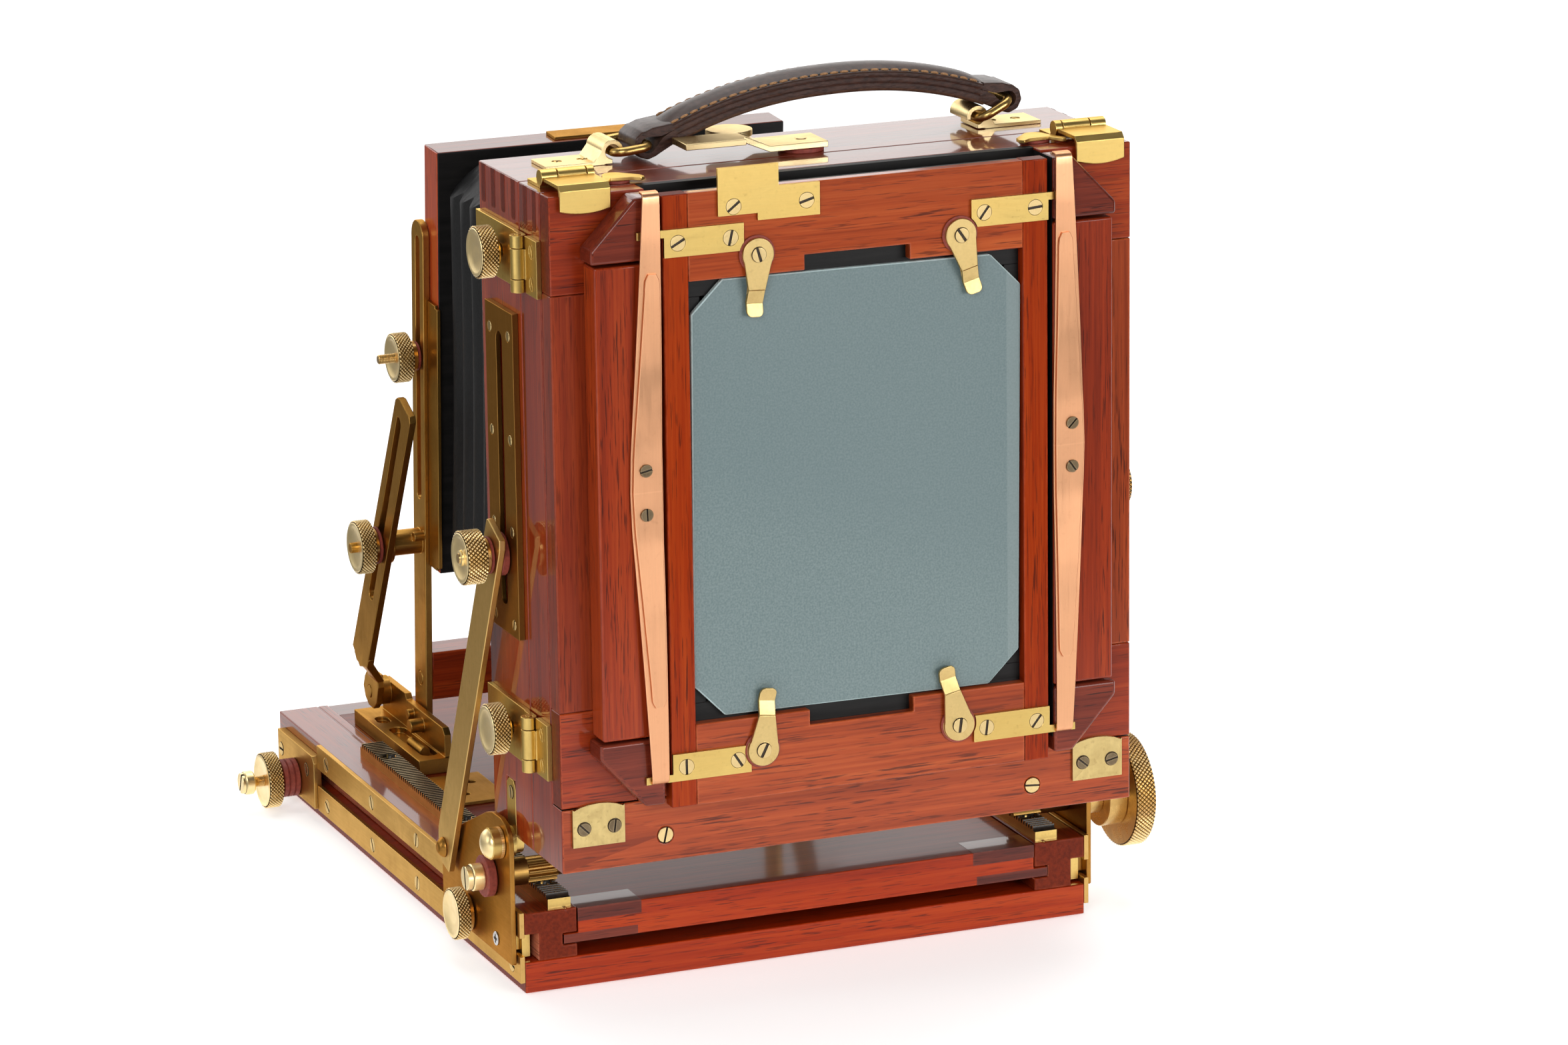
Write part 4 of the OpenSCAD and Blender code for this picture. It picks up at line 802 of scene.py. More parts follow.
def curved_leaf(bm):
    """The catch's front leaf has a gently curved lower edge."""
    zs = [v.co.z for v in bm.verts]
    xs = [v.co.x for v in bm.verts]
    z0, xa, xb = min(zs), min(xs), max(xs)
    for i in range(1, 9):
        x = xa + (xb - xa) * i / 9
        bmesh.ops.bisect_plane(bm, geom=[f for f in bm.verts[:] + bm.edges[:] + bm.faces[:]], plane_co=(x, 0, 0), plane_no=(1, 0, 0))
    for v in bm.verts:
        if v.co.z < z0 + 1.2:
            t = (v.co.x - xa) / (xb - xa) * 2 - 1
            v.co.z -= 1.15 * (1 - t * t)


remake("bed_fittings", fit_rule, [aged_y, W["drk_y"]], bevel=0.2)
remake("uprights", None, [upright_brass], bevel=0.22)
for sd in ("left", "right"):
    remake(sd + "_tilt_strut", None, [aged], bevel=0.25, segs=3)
    remake(sd + "_rear_strut", lambda c, n, lo, hi: 1 if (hi - lo).z < 20 else 0, [strut_brass, fibre], bevel=0.25)
    remake(sd + "_back_catch", None, [brass_x], bevel=0.16, edit=curved_leaf)
    remake(sd + "_catch_lever", lambda c, n, lo, hi: 1 if (hi - lo).x < 9.5 else 0, [brass_x, fibre], bevel=0.15)
# the side plates take the darker brass: partly patina, partly painted shade
remake("side_plates", None, [side_plate_patina_and_shade], bevel=0.2)
remake("slide_nuts", lambda c, n, lo, hi: 1 if (hi - lo).y < 8 else 0, [brass_y, steel], bevel=0.15)
remake("focus_pinion", None, [shaft_brass], bevel=0.08)


def slot_rule(c, n, lo, hi):
    return 1 if (hi - lo).x < 0.9 else 0


# the slot plates take the darker brass: partly patina, partly painted shade
remake("slot_plates", slot_rule, [slot_plate_patina_and_shade, W["drk_z"]], bevel=0.14)
remake("pivot_fittings", lambda c, n, lo, hi: (1 if head(c, n, lo, hi) else 2) if (hi - lo).length < 7 else 0, [brass, screw_b, slot_shade_dark], bevel=0.12,
       drop=lambda lo, hi: abs(lo.x + hi.x) / 2 > 92 and (hi - lo).z < 10)
for sd in ("left", "right"):
    remake(sd + "_hinge_leaves", None, [brass], bevel=0.15)
# handle lugs and centre catch take the paler top brass: partly wear, partly painted reflection
remake("handle_fittings", None, [top_brass_wear_and_reflection], bevel=0.15)
remake("centre_catch", lambda c, n, lo, hi: 1 if (hi - lo).z < 1.6 and (hi - lo).x < 14 else 0, [top_brass_wear_and_reflection, fibre], bevel=0.2)


def bf_rule(c, n, lo, hi):
    s = hi - lo
    if s.length < 8:
        if not head(c, n, lo, hi):
            return 4
        return 2 if lo.z < 70 and abs(c.x) > 65 else 3
    return 1 if lo.z < 70 and s.x > 10 else 0


def flat_arc(bm):
    """The retaining plates have a gently curved top edge."""
    for v in bm.verts:
        if abs(v.co.x) > 69.9 and -1.02 < v.co.y < 0.02 and 63.5 < v.co.z < 66.1:
            v.co.z = 66.0 - (66.0 - v.co.z) * 0.66


remake("back_fittings", bf_rule, [brass, aged_streak, screw_d, screw_b, slot_shade_dark], bevel=0.1, edit=flat_arc,
       drop=lambda lo, hi: (hi - lo).length < 8 and 51 < (lo.z + hi.z) / 2 < 56 and 54 < abs(lo.x + hi.x) / 2 < 61)
remake("frame_plates", lambda c, n, lo, hi: (1 if head(c, n, lo, hi) else 2) if (hi - lo).length < 8 else 0, [brass_x, screw_b, slot_shade_dark], bevel=0.08)


def glass_rule(c, n, lo, hi):
    return 1 if abs(n.y) < 0.5 else 0


remake("ground_glass", glass_rule, [M_GLASS, M_GLASS_EDGE], bevel=0.3, segs=1)
def clip_piece(nm, cx_, cz_):
    def rule(c, n, lo, hi):
        d = math.hypot(c.x - cx_, c.z - cz_)
        if c.y > -9.72 and d < 6.5:
            return 1
        if c.y < -10.71 and d < 2.5:
            return 2 if n.y < -0.6 and c.y < -11.2 else 3
        return 0

    def tips(bm):
        es = []
        for e in bm.edges:
            p, q = e.verts[0].co, e.verts[1].co
            if abs((q - p).normalized().y) > 0.9 and min(math.hypot(v.x - cx_, v.z - cz_) for v in (p, q)) > 17.4:
                es.append(e)
        if es:
            bmesh.ops.bevel(bm, geom=es, offset=1.6, segments=5, profile=0.5, affect="EDGES", clamp_overlap=True)
    remake(nm + "_clip", rule, [clip_brass, fibre, screw_b, slot_shade_dark], bevel=0.2, segs=3, edit=tips)


for nm, cx_, cz_ in (("upper_left", -30.6, 222.6), ("upper_right", 31.2, 222.3), ("lower_left", -31.0, 78.4), ("lower_right", 29.8, 78.2)):
    clip_piece(nm, cx_, cz_)


# small slotted screws of the slot plates
def slotted(bm, r, h, slot_w, slot_d, mi=0, seg=28, dark=None):
    """Head standing on local z = 0, axis +z, with a real slot."""
    dk = mi if dark is None else dark
    hw = slot_w / 2
    a0 = math.asin(hw / r)
    dome = 0.12 * h
    for s in (1, -1):
        arc = [a0 + (math.pi - 2 * a0) * i / (seg // 2) for i in range(seg // 2 + 1)]
        if s < 0:
            arc = [a + math.pi for a in arc]
        rim0 = [bm.verts.new((r * math.cos(a), r * math.sin(a), 0)) for a in arc]
        rim1 = [bm.verts.new((r * math.cos(a), r * math.sin(a), h - 0.12)) for a in arc]
        k = (r - 0.12) / r
        rim2 = [bm.verts.new((r * k * math.cos(a), (r * k * math.sin(a) if abs(r * k * math.sin(a)) > hw else s * hw), h)) for a in arc]
        for i in range(len(arc) - 1):
            bm.faces.new((rim0[i], rim0[i + 1], rim1[i + 1], rim1[i])).material_index = mi
            bm.faces.new((rim1[i], rim1[i + 1], rim2[i + 1], rim2[i])).material_index = mi
        bm.faces.new(rim2).material_index = mi
        b0 = bm.verts.new((rim1[-1].co.x, rim1[-1].co.y, h - slot_d))
        b1 = bm.verts.new((rim1[0].co.x, rim1[0].co.y, h - slot_d))
        bm.faces.new((rim2[-1], rim1[-1], b0, b1, rim1[0], rim2[0])).material_index = dk
    v = [bm.verts.new(p) for p in ((-r * math.cos(a0), -hw, h - slot_d), (r * math.cos(a0), -hw, h - slot_d), (r * math.cos(a0), hw, h - slot_d), (-r * math.cos(a0), hw, h - slot_d))]
    bm.faces.new(v).material_index = dk
    # a thin near-black ring round the head's foot: painted contact shadow
    if dark is not None:
        lathe(bm, [(r - 0.2, 0.01), (r + 0.2, 0.01), (r + 0.2, 0.05), (r - 0.2, 0.05)], 28, dk)


def place_in(bm_to, bm_from, mat):
    me = bpy.data.meshes.new("tmp")
    bm_from.to_mesh(me)
    me.transform(mat)
    bm_to.from_mesh(me)
    bpy.data.meshes.remove(me)


def axis_mat(origin, axis, roll=0.0):
    q = Vector(axis).normalized().to_track_quat("Z", "Y")
    return Matrix.Translation(Vector(origin)) @ q.to_matrix().to_4x4() @ Matrix.Rotation(roll, 4, "Z")


def screws(name, body, mat, items, r, h, slot_w=0.55, slot_d=0.45, reps=()):
    """items: (origin, axis, roll) in mm; every head in one mesh."""
    one = bmesh.new()
    slotted(one, r, h, slot_w, slot_d, dark=1)
    allm = bmesh.new()
    for o, a, roll in items:
        place_in(allm, one, axis_mat(o, a, roll))
    one.free()
    return finish_mesh(name, allm, [mat, slot_shade_dark], body, reps, angle=30)


k = 0
items = []
for s in (-1, 1):
    for z in (111.8, 139.2, 166.2, 196.4):
        for y in (30.6, 45.6):
            k += 1
            items.append(((s * 90.05, y, z), (s, 0, 0), [1.5, 1.2, 1.75, 1.55, 1.45, 1.9, 1.3, 1.6][k % 8]))
screws("slot_plate_screws", "rear_body", screw_b, items, 1.5, 0.7, 0.46, 0.42)
items = []
k = 0
for s in (-1, 1):
    for x in (63.4, 71):
        k += 1
        items.append(((s * x, 40.7, 242.15), (0, 0, 1), 0.4 * k + 0.3))
screws("lug_screws", "rear_body", screw_b, items, 1.45, 0.75, 0.46, 0.42)
screws("lower_rail_screws", "back_swing", screw_b, [((57.4, 0.35, 53.6), (0, -1, 0), -0.08), ((-57.4, 0.35, 53.6), (0, -1, 0), 1.35)], 2.3, 0.65, 0.6, 0.5)
# thin near-black crosses for the slots of the carriage screws: painted shade
bm = bmesh.new()
for s in (-1, 1):
    for y0, y1, z0, z1 in ((46.3, 48.7, 12.62, 13.18), (47.22, 47.78, 11.7, 14.1)):
        a, b = sorted((s * 92.7, s * 92.85))
        box(bm, a, b, y0, y1, z0, z1)
bmesh.ops.recalc_face_normals(bm, faces=bm.faces)
finish_mesh("carriage_screw_crosses", bm, [slot_shade_dark], "rear_carriage", (), smooth=False)
screws("retaining_plate_screws", "back_swing", screw_d, [((s * x, -1.0, 58.8), (0, -1, 0), 0.9 + 0.5 * s + x * 0.1) for s in (-1, 1) for x in (73.2, 82.4)], 1.95, 0.5, 0.55, 0.42)


# ----------------------------------------------------------------------- knobs
def knurled(bm, r, z0, z1, pitch, rows, depth, mi):
    """A band of real pyramids between z0 and z1, with chamfered shoulders."""
    cnt = int(round(2 * math.pi * r / pitch))
    seg = cnt * 2
    n = rows * 2
    ch = 0.35
    za, zb = z0 + ch, z1 - ch
    grid = []
    for k in range(n + 1):
        z = za + (zb - za) * k / n
        grid.append([bm.verts.new(((r if (i + k) % 2 else r - depth) * math.cos(2 * math.pi * i / seg), (r if (i + k) % 2 else r - depth) * math.sin(2 * math.pi * i / seg), z)) for i in range(seg)])
    for k in range(n):
        for i in range(seg):
            j = (i + 1) % seg
            a, b, c, d = grid[k][i], grid[k][j], grid[k + 1][j], grid[k + 1][i]
            tris = ((a, b, c), (a, c, d)) if (i + k) % 2 == 0 else ((a, b, d), (b, c, d))
            for t in tris:
                f = bm.faces.new(t)
                f.material_index = mi
                f.smooth = False
    ends = []
    for ring, zc, up in ((grid[0], z0, False), (grid[-1], z1, True)):
        rr = r - depth - 0.18
        rim = [bm.verts.new((rr * math.cos(2 * math.pi * i / seg), rr * math.sin(2 * math.pi * i / seg), zc)) for i in range(seg)]
        for i in range(seg):
            j = (i + 1) % seg
            f = bm.faces.new((ring[i], ring[j], rim[j], rim[i]) if up else (rim[i], rim[j], ring[j], ring[i]))
            f.material_index = mi
            f.smooth = False
        ends.append((rim, rr))
    return ends, seg


def knob_mesh(name, fibre_parts, hubs, kr, k0, k1, face, pitch=1.32, rows=4, depth=0.56, stud=None, extra=None):
    """All lengths along the knob's own axis in mm. face is the profile inside the knurled rim, from rim to centre: (r, dz)."""
    bm = bmesh.new()
    bm_kr.append((kr, depth))
    for r, z0, z1 in fibre_parts:
        c = 0.15
        lathe(bm, [(0, z0), (r - c, z0), (r, z0 + c), (r, z1 - c), (r - c, z1), (0, z1)], 64, 2)
    for r, z0, z1 in hubs:
        c = 0.25
        lathe(bm, [(0, z0), (r - c, z0), (r, z0 + c), (r, z1 - c), (r - c, z1), (0, z1)], 64, 1)
    ends, seg = knurled(bm, kr, k0, k1, pitch, rows, depth, 0)
    rim0, rr0 = ends[0]
    rim1, rr1 = ends[1]
    bm.faces.new(list(reversed(rim0))).material_index = 1
    prev = rim1
    for r, dz in face:
        z = k1 + dz
        if r < 1e-4:
            c = bm.verts.new((0, 0, z))
            for i in range(seg):
                f = bm.faces.new((prev[i], prev[(i + 1) % seg], c))
                f.material_index = 3
                f.smooth = True
            break
        ring = [bm.verts.new((r * math.cos(2 * math.pi * i / seg), r * math.sin(2 * math.pi * i / seg), z)) for i in range(seg)]
        for i in range(seg):
            j = (i + 1) % seg
            f = bm.faces.new((prev[i], prev[j], ring[j], ring[i]))
            f.material_index = 3
            f.smooth = True
        prev = ring
    if stud:
        threaded(bm, stud[0], stud[1], stud[2], 1)
    if extra:
        extra(bm)
    return bm


def threaded(bm, r, z0, z1, mi, pitch=0.5):
    seg, n = 24, int((z1 - z0) / pitch * 2)
    rings = []
    for k in range(n + 1):
        z = z0 + (z1 - z0 - 0.3) * k / n
        rr = r if k % 2 else r - 0.16
        rings.append((rr, z))
    rings.append((r - 0.3, z1))
    rings.append((0, z1))
    lathe(bm, rings, seg, mi)


bm_kr = []
KNURLS = {}


def dish(r, d=0.55, boss=0.0, br=2.2):
    """Dished face: narrow flat rim, shallow bowl, optional raised boss."""
    out = [(r - 0.3, 0.12), (r - 0.9, 0.12), (r - 1.3, 0.0), (r * 0.72, -d * 0.62), (r * 0.5, -d * 0.92), (br + 0.9, -d)]
    if boss:
        out += [(br + 0.35, -d), (br, -d + 0.15), (br - 0.1, -d + boss - 0.15), (br - 0.4, -d + boss), (0, -d + boss)]
    else:
        out += [(br, -d - 0.05), (0, -d - 0.08)]
    return out


def knob(name, node, body, origin, s, mesh):
    kr, depth = bm_kr[-1]
    if kr not in KNURLS:
        KNURLS[kr] = knurl_shade_and_highlight_mat(kr, depth)
    return bake_piece(name, mesh, [KNURLS[kr], hub, fibre, polished, slot_shade_dark], origin, (s, 0, 0), body, (node,), angle=28)


for s, sd in ((-1, "left"), (1, "right")):
    o = (0, 38, 131.3)
    bm = knob_mesh("k", [(5.4, 95.2, 96.0)], [(3.7, 86.6, 88.5), (5.2, 95.95, 97.85)], 8.0, 97.8, 104.0, dish(7.35, 0.7, 0.9, 2.3), stud=(1.7, 88.4, 104.6))
    knob(sd + "_strut_knob_turned", sd + "_strut_knob", sd + "_strut_knob", o, s, bm)
    for v, z in (("upper", 220.2), ("lower", 80.0)):
        bm = knob_mesh("k", [], [(3.7, 86.4, 88.2), (1.7, 88.1, 92.1), (4.8, 91.4, 92.85)], 7.6, 92.8, 97.8, dish(7.0, 0.55, 0.0, 2.0))
        knob(v + "_" + sd + "_hinge_knob_turned", v + "_" + sd + "_hinge_knob", v + "_" + sd + "_hinge_knob", (0, 36.4, z), s, bm)
    bm = knob_mesh("k", [(5.8, 73.1, 74.0)], [(5.4, 73.95, 75.85)], 8.5, 75.8, 80.6, dish(7.85, 0.6, 0.0, 2.2))
    knob(sd + "_tilt_knob_turned", sd + "_tilt_knob", sd + "_tilt_knob", (0, 203.5, 91.2), s, bm)
    bm = knob_mesh("k", [(4.5, 59.8, 60.75)], [(4.8, 60.7, 62.95)], 7.85, 62.9, 67.9, dish(7.2, 0.6, 0.0, 1.9), stud=(1.5, 51.2, 72.5))
    knob(sd + "_rise_knob_turned", sd + "_rise_knob", sd + "_rise_knob", lean_pt(0, 206.5, 151.2), s, bm)


def lock_extra(bm):
    # ringed fibre stack, slotted end nut on the threaded stud
    prof = [(0, 91.0)]
    for i in range(3):
        z = 91.7 + i * 1.9
        prof += [(5.5, z), (6.05, z + 0.25), (6.05, z + 1.5), (5.5, z + 1.75)]
    prof += [(0, 97.4)]
    lathe(bm, prof, 64, 2)
    lathe(bm, [(0, 97.3), (5.3, 97.3), (5.5, 97.5), (5.5, 98.2), (0, 98.2)], 64, 1)
    lathe(bm, [(0, 105.9), (3.3, 105.9), (3.8, 106.4), (3.8, 108.6), (3.3, 109.1), (0, 109.1)], 40, 3)
    sl = bmesh.new()
    slotted(sl, 3.3, 1.0, 0.9, 0.85, 3, dark=4)
    place_in(bm, sl, Matrix.Translation((0, 0, 109.0)) @ Matrix.Rotation(1.2, 4, "Z"))
    sl.free()


bm = knob_mesh("k", [], [(2.15, 87.9, 92)], 8.95, 98.1, 102.9, dish(8.2, 0.3, 0.0, 3.0), stud=(1.8, 102.4, 106.4), extra=lock_extra)
knob("bed_lock_knob_turned", "bed_lock_knob", "bed_lock_knob", (0, 236.5, 9.2), -1, bm)
bm = knob_mesh("k", [], [(2.0, 85.2, 93.2), (5.7, 92.7, 94.45)], 7.85, 94.4, 98.2, dish(7.3, 0.5, 0.0, 2.6), rows=3)
knob("carriage_lock_knob_turned", "carriage_lock_knob", "carriage_lock_knob", (0, 70.6, 14.1), -1, bm)


def left_end(bm):
    m = bmesh.new()
    lathe(m, [(2.6, 92.6), (5.9, 92.6), (6.2, 92.9), (6.2, 95.1), (5.9, 95.4), (2.6, 95.4), (2.6, 92.6)], 64, 2)
    lathe(m, [(2.6, 95.4), (3.7, 95.4), (4.0, 95.7), (4.0, 98.6), (3.6, 99.0), (2.0, 99.0), (2.0, 98.9), (0, 98.9)], 48, 3)
    sl = bmesh.new()
    slotted(sl, 3.55, 1.6, 0.9, 1.0, 3, dark=4)
    place_in(m, sl, Matrix.Translation((0, 0, 99.0)) @ Matrix.Rotation(1.75, 4, "Z"))
    sl.free()
    place_in(bm, m, Matrix.Rotation(math.pi, 4, "X"))
    m.free()


bm = knob_mesh("k", [(6.2, 92.6, 95.9)], [(6.0, 95.85, 101.35), (10.25, 101.25, 107.35)], 17.2, 107.3, 113.7, dish(16.3, 1.2, 0.9, 4.5), pitch=1.4, rows=4, depth=0.6, extra=left_end)
knob("focus_knob_turned", "focus_knob", "focus_shaft", (0, 50.6, 31.371), 1, bm)


# domed pivot nuts
for s in (-1, 1):
    bm = bmesh.new()
    prof = [(0, 0), (4.55, 0), (4.7, 0.15), (4.7, 1.05), (4.5, 1.25), (4.25, 1.3), (4.25, 1.5), (4.5, 1.55), (4.6, 1.7), (4.6, 3.0)]
    for i in range(1, 13):
        t = i / 12 * math.pi / 2
        prof.append((4.5 * math.cos(t) if i < 12 else 0, 3.1 + 2.9 * math.sin(t)))
    lathe(bm, prof, 64, 0)
    bake_piece(("left" if s < 0 else "right") + "_dome_nut", bm, [polished], (s * 92.5, 42, 43.8), (s, 0, 0), "rear_body", ("pivot_fittings",), angle=35)


# --------------------------------------------------------------------- springs
def lerp(tab, t):
    if t <= tab[0][0]:
        return tab[0][1]
    for (a, va), (b, vb) in zip(tab, tab[1:]):
        if t <= b:
            return va + (vb - va) * (t - a) / (b - a)
    return tab[-1][1]


def smooth_lerp(tab, t):
    if t <= tab[0][0]:
        return tab[0][1]
    for (a, va), (b, vb) in zip(tab, tab[1:]):
        if t <= b:
            u = (t - a) / (b - a)
            u = u * u * (3 - 2 * u)
            return va + (vb - va) * u
    return tab[-1][1]


def strip(bm, stations, thick, mi=0, c=0.14):
    """A sprung leaf: stations are (xi, xo, y, z, ny, nz) with the outer face at y and its normal; softened long edges."""
    rows = []
    for xi, xo, y, z, ny, nz in stations:
        prof = [(xi + c, 0), (xo - c, 0), (xo, c), (xo, thick - c), (xo - c, thick), (xi + c, thick), (xi, thick - c), (xi, c)]
        rows.append([bm.verts.new((x, y - ny * d, z - nz * d)) for x, d in prof])
    for a, b in zip(rows, rows[1:]):
        for i in range(8):
            j = (i + 1) % 8
            bm.faces.new((a[i], a[j], b[j], b[i])).material_index = mi
    bm.faces.new(rows[0]).material_index = mi
    bm.faces.new(list(reversed(rows[-1]))).material_index = mi


def path_normals(pts):
    """pts are (y, z); the outward normal is the one with y below zero on a vertical run."""
    out = []
    for i in range(len(pts)):
        a, b = pts[max(0, i - 1)], pts[min(len(pts) - 1, i + 1)]
        dy, dz = b[0] - a[0], b[1] - a[1]
        n = math.hypot(dy, dz)
        out.append((-dz / n, dy / n))
    return out


Y_MAIN = [(0, -9.95), (14, -9.98), (35, -10.85), (55, -11.35), (72, -11.6), (85.6, -11.5)]
Y_TOP = [(0, -10.72), (14, -10.75), (35, -11.6), (55, -12.1), (63, -12.2)]
for s in (-1, 1):
    for m in (1, -1):
        bm = bmesh.new()
        pts = []
        n = 44
        for i in range(n + 1):
            t = 83.8 * i / n
            pts.append((lerp(Y_MAIN, t), t))
        # the tip turns over towards the front
        for i in range(1, 9):
            a = i / 8 * 1.45
            pts.append((-11.5 + 1.75 * (1 - math.cos(a)), 83.8 + 1.75 * math.sin(a)))
        pts.append((-8.6, 85.6))
        nr = path_normals(pts)
        st = []
        for (y, t), (ny, nz) in zip(pts, nr):
            xi = lerp([(0, 60.0), (85.6, 60.2)], t)
            xo = lerp([(0, 69.8), (10, 69.5), (85.6, 65.2)], t)
            st.append((xi, xo, y, t, ny, nz))
        strip(bm, st, 0.78)
        pts = []
        n = 34
        for i in range(n + 1):
            t = 62.6 * i / n
            pts.append((lerp(Y_TOP, t), t))
        nr = path_normals(pts)
        st = []
        for (y, t), (ny, nz) in zip(pts, nr):
            xi = lerp([(0, 60.5), (58, 60.8)], t)
            xo = lerp([(0, 69.2), (10, 68.8), (58, 65.2)], t)
            if t > 59.5:      # rounded end
                k = (t - 59.5) / 3.1
                w = (xo - xi) / 2
                cx = (xo + xi) / 2
                w *= math.sqrt(max(0.0, 1 - (k * 0.93) ** 2 * 0.85))
                xi, xo = cx - w, cx + w
            st.append((xi, xo, y, t, ny, nz))
        strip(bm, st, 0.7)
        bmesh.ops.transform(bm, matrix=Matrix.Translation((0, 0, 157.8)) @ Matrix.Diagonal((s, 1, m, 1)), verts=bm.verts)
        bmesh.ops.recalc_face_normals(bm, faces=bm.faces)
        ob = finish_mesh("spring_%s_%s" % ("left" if s < 0 else "right", "upper" if m > 0 else "lower"), bm, [copper], None, ("springs",), angle=40)
        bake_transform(ob)
items = []
for s in (-1, 1):
    for z, r in ((164.2, 0.5), (151.4, 1.9)):
        items.append(((s * 65.4, -10.6, z), (0, -1, 0), r + s * 0.3))
screws("spring_screws", "back_swing", screw_d, items, 1.85, 0.75, 0.55, 0.5, ("springs",))


# ------------------------------------------------------------- handle and loops
RING_Z, RING_L, RA = 245.7, 10.6, (6 * D2R, 27 * D2R)


def tube(bm, pts, r, seg=14, closed=True, mi=0):
    n = len(pts)
    rings = []
    prev = None
    for i in range(n):
        a, b = Vector(pts[i - 1]), Vector(pts[(i + 1) % n])
        t = (b - a).normalized()
        if prev is None:
            u = t.orthogonal().normalized()
        else:
            u = (prev - t * prev.dot(t)).normalized()
        prev = u
        v = t.cross(u)
        rings.append([bm.verts.new(Vector(pts[i]) + r * (math.cos(2 * math.pi * k / seg) * u + math.sin(2 * math.pi * k / seg) * v)) for k in range(seg)])
    for i in range(n if closed else n - 1):
        a, b = rings[i], rings[(i + 1) % n]
        # choose the offset that lines the seams up
        off = 0
        if closed and i == n - 1:
            off = min(range(seg), key=lambda o: (a[0].co - b[o].co).length)
        for k in range(seg):
            f = bm.faces.new((a[k], a[(k + 1) % seg], b[(k + 1 + off) % seg], b[(k + off) % seg]))
            f.smooth = True
            f.material_index = mi
    return rings


for s, sd, a in ((-1, "left", RA[0]), (1, "right", RA[1])):
    bm = bmesh.new()
    w, l, cr = 9.0, RING_L, 3.4
    flat = []
    for cx_, cy_, a0 in ((l - cr, w - cr, 0), (cr, w - cr, 90), (cr, -w + cr, 180), (l - cr, -w + cr, 270)):
        for i in range(9):
            t = (a0 + i * 90 / 8) * D2R
            flat.append((cx_ + cr * math.cos(t), cy_ + cr * math.sin(t)))
    pts = []
    for u, v in flat:
        pts.append((s * 56.4 + u * math.cos(a), 40.7 + v, RING_Z + u * math.sin(a)))
    tube(bm, pts, 1.3, 16)
    bmesh.ops.recalc_face_normals(bm, faces=bm.faces)
    finish_mesh(sd + "_wire_loop", bm, [ring_brass], sd + "_ring", (sd + "_ring",), angle=60)

HA = (-56.4 + RING_L * math.cos(RA[0]), RING_Z + RING_L * math.sin(RA[0]))
HB = (56.4 + RING_L * math.cos(RA[1]), RING_Z + RING_L * math.sin(RA[1]))


def h_at(u):
    x = (HA[0] + HB[0]) / 2 + u * (HB[0] - HA[0]) / 2
    z = (HA[1] + HB[1]) / 2 + u * (HB[1] - HA[1]) / 2 + 11.9 * (1 - abs(u) ** 2.2)
    return x, z


def h_frame(u):
    x, z = h_at(u)
    d = 0.004
    x0, z0 = h_at(max(-1, u - d))
    x1, z1 = h_at(min(1, u + d))
    n = math.hypot(x1 - x0, z1 - z0)
    tx, tz = (x1 - x0) / n, (z1 - z0) / n
    return x, z, tx, tz, -tz, tx      # point, tangent, normal


HW = 7.0
# section: (across, height, material): 0 top leather, 1 rough layered side, 2 underside
SEC = [(0.0, 3.45, 0), (1.6, 3.35, 0), (3.0, 3.03, 0), (4.1, 2.55, 0), (4.9, 2.05, 0), (5.35, 1.84, 0), (5.8, 1.80, 0), (6.3, 1.78, 0), (6.75, 1.55, 0), (7.0, 1.15, 0),
       (7.02, 0.55, 1), (6.9, 0.18, 1), (6.75, 0.02, 1), (6.9, -0.14, 1), (7.02, -0.6, 1), (7.0, -1.2, 1), (6.88, -1.55, 1), (6.72, -1.68, 1), (6.88, -1.82, 1), (7.0, -2.3, 1),
       (6.98, -3.2, 1), (6.72, -3.85, 2), (6.1, -4.15, 2), (4.0, -4.25, 2), (0.0, -4.28, 2)]
sec = SEC + [(-a, h, m) for a, h, m in reversed(SEC[1:-1])]
bm = bmesh.new()
N = 120
rings = []
for i in range(N + 1):
    u = -0.885 + 1.77 * i / N
    x, z, tx, tz, nx, nz = h_frame(u)
    e = 1 - min(1.0, (0.885 - abs(u)) / 0.16)
    wob = 0.10 * math.sin(i * 0.61) + 0.06 * math.sin(i * 1.7 + 1)
    row = []
    for a, h, m in sec:
        hh = h
        if h > 1.8:
            hh = 1.8 + (h - 1.8) * (1 - 0.62 * e * e)      # the padding thins towards the loops
        hh += wob * 0.25 if m == 1 else 0
        row.append(bm.verts.new((x + nx * hh, 40.7 + a, z + nz * hh)))
    rings.append(row)
for a, b in zip(rings, rings[1:]):
    for k in range(len(sec)):
        j = (k + 1) % len(sec)
        f = bm.faces.new((a[k], a[j], b[j], b[k]))
        f.material_index = max(sec[k][2], sec[j][2]) if {sec[k][2], sec[j][2]} != {0, 2} else 0
        f.smooth = True
bm.faces.new(rings[0]).material_index = 1
bm.faces.new(list(reversed(rings[-1]))).material_index = 1
bmesh.ops.recalc_face_normals(bm, faces=bm.faces)
finish_mesh("handle_grip", bm, [leather, leather_raw, leather_under], "handle", ("handle",), angle=75)
